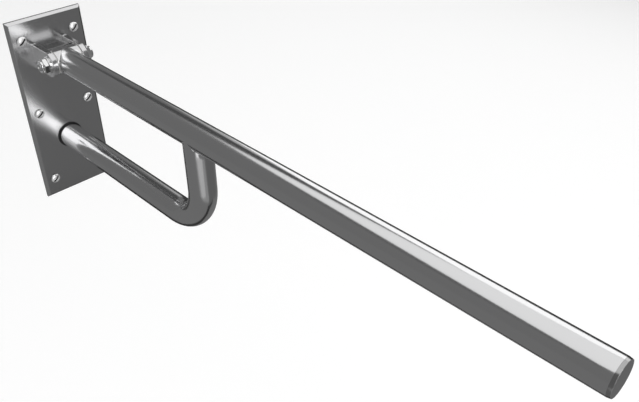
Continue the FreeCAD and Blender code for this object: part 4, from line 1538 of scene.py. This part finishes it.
# %% Cards on the floor
DARK_CARD = 0.04
CARD_STEP = 0.01
END = FLOOR_END
FLOOR_CARDS = (
    ("grey_floor_card", 0.20, ((-END, -END), (END, -END), (END, END), (-END, END))),
    ("right_floor_card", 0.15, ((0.15, -0.85), (1.3, -0.2), (END, -0.5), (END, -END), (0.4, -END))),
    (
        "dark_floor_card",
        DARK_CARD,
        (
            (0.06, -0.80), (0.70, -0.80), (0.80, 0.30), (1.35, 0.45), (1.50, -0.60), (3.0, -0.9),
            (END, -1.5), (END, END), (-1.0, END), (-0.30, 1.0), (-0.28, 0.45), (-0.10, 0.20),
            (-0.05, -0.20),
        ),
    ),
    (
        "bend_floor_card",
        0.20,
        (
            (0.12, -0.30), (0.22, -0.62), (0.70, -0.80), (0.95, 0.30), (0.95, 0.95), (0.45, 0.80),
            (0.20, 0.18),
        ),
    ),
    (
        "near_floor_fade",
        0.33,
        ((-1.5, -0.85), (0.10, -0.95), (0.12, -1.25), (-0.02, -1.70), (-0.9, -1.8), (-1.5, -1.7)),
    ),
    (
        "near_floor_light",
        0.56,
        ((-1.4, -1.0), (-0.55, -1.02), (-0.30, -1.25), (-0.35, -1.72), (-0.9, -1.75), (-1.5, -1.6)),
    ),
    ("far_floor_light", 1.05, ((-0.9, -1.6), (-1.5, -1.5), (-3.4, -3.7), (-1.9, -3.7))),
)
for number, (name, level, corners) in enumerate(FLOOR_CARDS, 1):
    height = number * CARD_STEP - FLOOR_DROP
    panel(name, level, False, [(x, y, height) for x, y in corners])
print(len(FLOOR_CARDS), "cards on the floor")

# %% [markdown]
# What no card or light covers would mirror the bright world, and the steel would turn pale. So a
# big round tent of dim grey closes the room.

# %% Tent
GREY_CARD = 0.19
TENT_RADIUS = 8
TENT_SUBDIVISIONS = 5
tent = bmesh.new()
bmesh.ops.create_icosphere(tent, subdivisions=TENT_SUBDIVISIONS, radius=TENT_RADIUS)
hang("grey_card_tent", tent, GREY_CARD, False)
print("tent of", TENT_RADIUS, "m radius")

# %% [markdown]
# Each light is a flat shape on one wall of a box round the bar. Its corners are the directions in
# which it begins and ends, as slopes: how far across and how far up for each step away. The two
# dark cards overhead hang a little behind the light there, so where they overlap it the light
# wins.

# %% Panels of light
LIGHT_DISTANCE = 3.7
BEHIND_SHARE = 1.02
OVERHEAD = (
    (-0.84, 0.0), (-0.68, 0.25), (-0.50, 0.42), (-0.30, 0.60), (-0.12, 0.76), (0.06, 0.85), (0.25, 0.79),
    (0.50, 0.59), (0.75, 0.50), (0.95, 0.36), (0.97, 0.15), (1.6, -0.9), (-0.3, -1.1),
)
DARK_CORNER = ((0.20, 0.70), (1.0, 0.42), (1.4, 1.2), (0.9, 1.7), (0.30, 1.6))
DARK_LINE = (
    (-1.15, -0.10), (-0.80, 0.0), (-0.60, 0.25), (-0.42, 0.42), (-0.22, 0.60), (-0.5, 0.75), (-1.0, 0.45),
)
SIDE = ((0.86, 0.16), (0.86, 1.05), (0.75, 1.15), (0.2, 1.02), (-0.4, 0.7), (-0.4, 0.18), (0.2, 0.15))
SIDE_FADE = ((1.12, 0.20), (1.12, 0.80), (0.86, 1.05), (0.86, 0.16))
FRONT = ((-0.95, 0.05), (-0.35, 0.05), (0.14, 0.50), (0.22, 0.90), (-0.45, 0.90), (-0.85, 0.45))
FRONT_FILL = ((-0.95, -0.19), (-0.42, -0.19), (-0.42, 0.05), (-0.95, 0.05))
DARK_SKIRT = ((-0.4, -0.19), (1.7, -0.19), (1.7, 0.08), (-0.4, 0.08))
reach = LIGHT_DISTANCE
behind = LIGHT_DISTANCE * BEHIND_SHARE
panel("overhead_light", 1.05, True, [(x * reach, y * reach, reach) for x, y in OVERHEAD])
panel("dark_corner_card", 0.08, True, [(x * behind, y * behind, behind) for x, y in DARK_CORNER])
panel("dark_line_card", 0.12, True, [(x * behind, y * behind, behind) for x, y in DARK_LINE])
panel("side_light", 1.45, True, [(reach, y * reach, z * reach) for y, z in SIDE])
panel("side_fade_light", 0.50, True, [(reach, y * reach, z * reach) for y, z in SIDE_FADE])
panel("front_light", 2.45, True, [(x * reach, -reach, z * reach) for x, z in FRONT])
panel("front_fill_light", 1.45, True, [(x * reach, -reach, z * reach) for x, z in FRONT_FILL])
panel("dark_skirt", DARK_CARD, True, [(reach, y * reach, z * reach) for y, z in DARK_SKIRT])
print("studio hung,", reach, "m away")

# %% [markdown]
# Last, the colour view is set to Standard.

bpy.context.scene.view_settings.view_transform = "Standard"
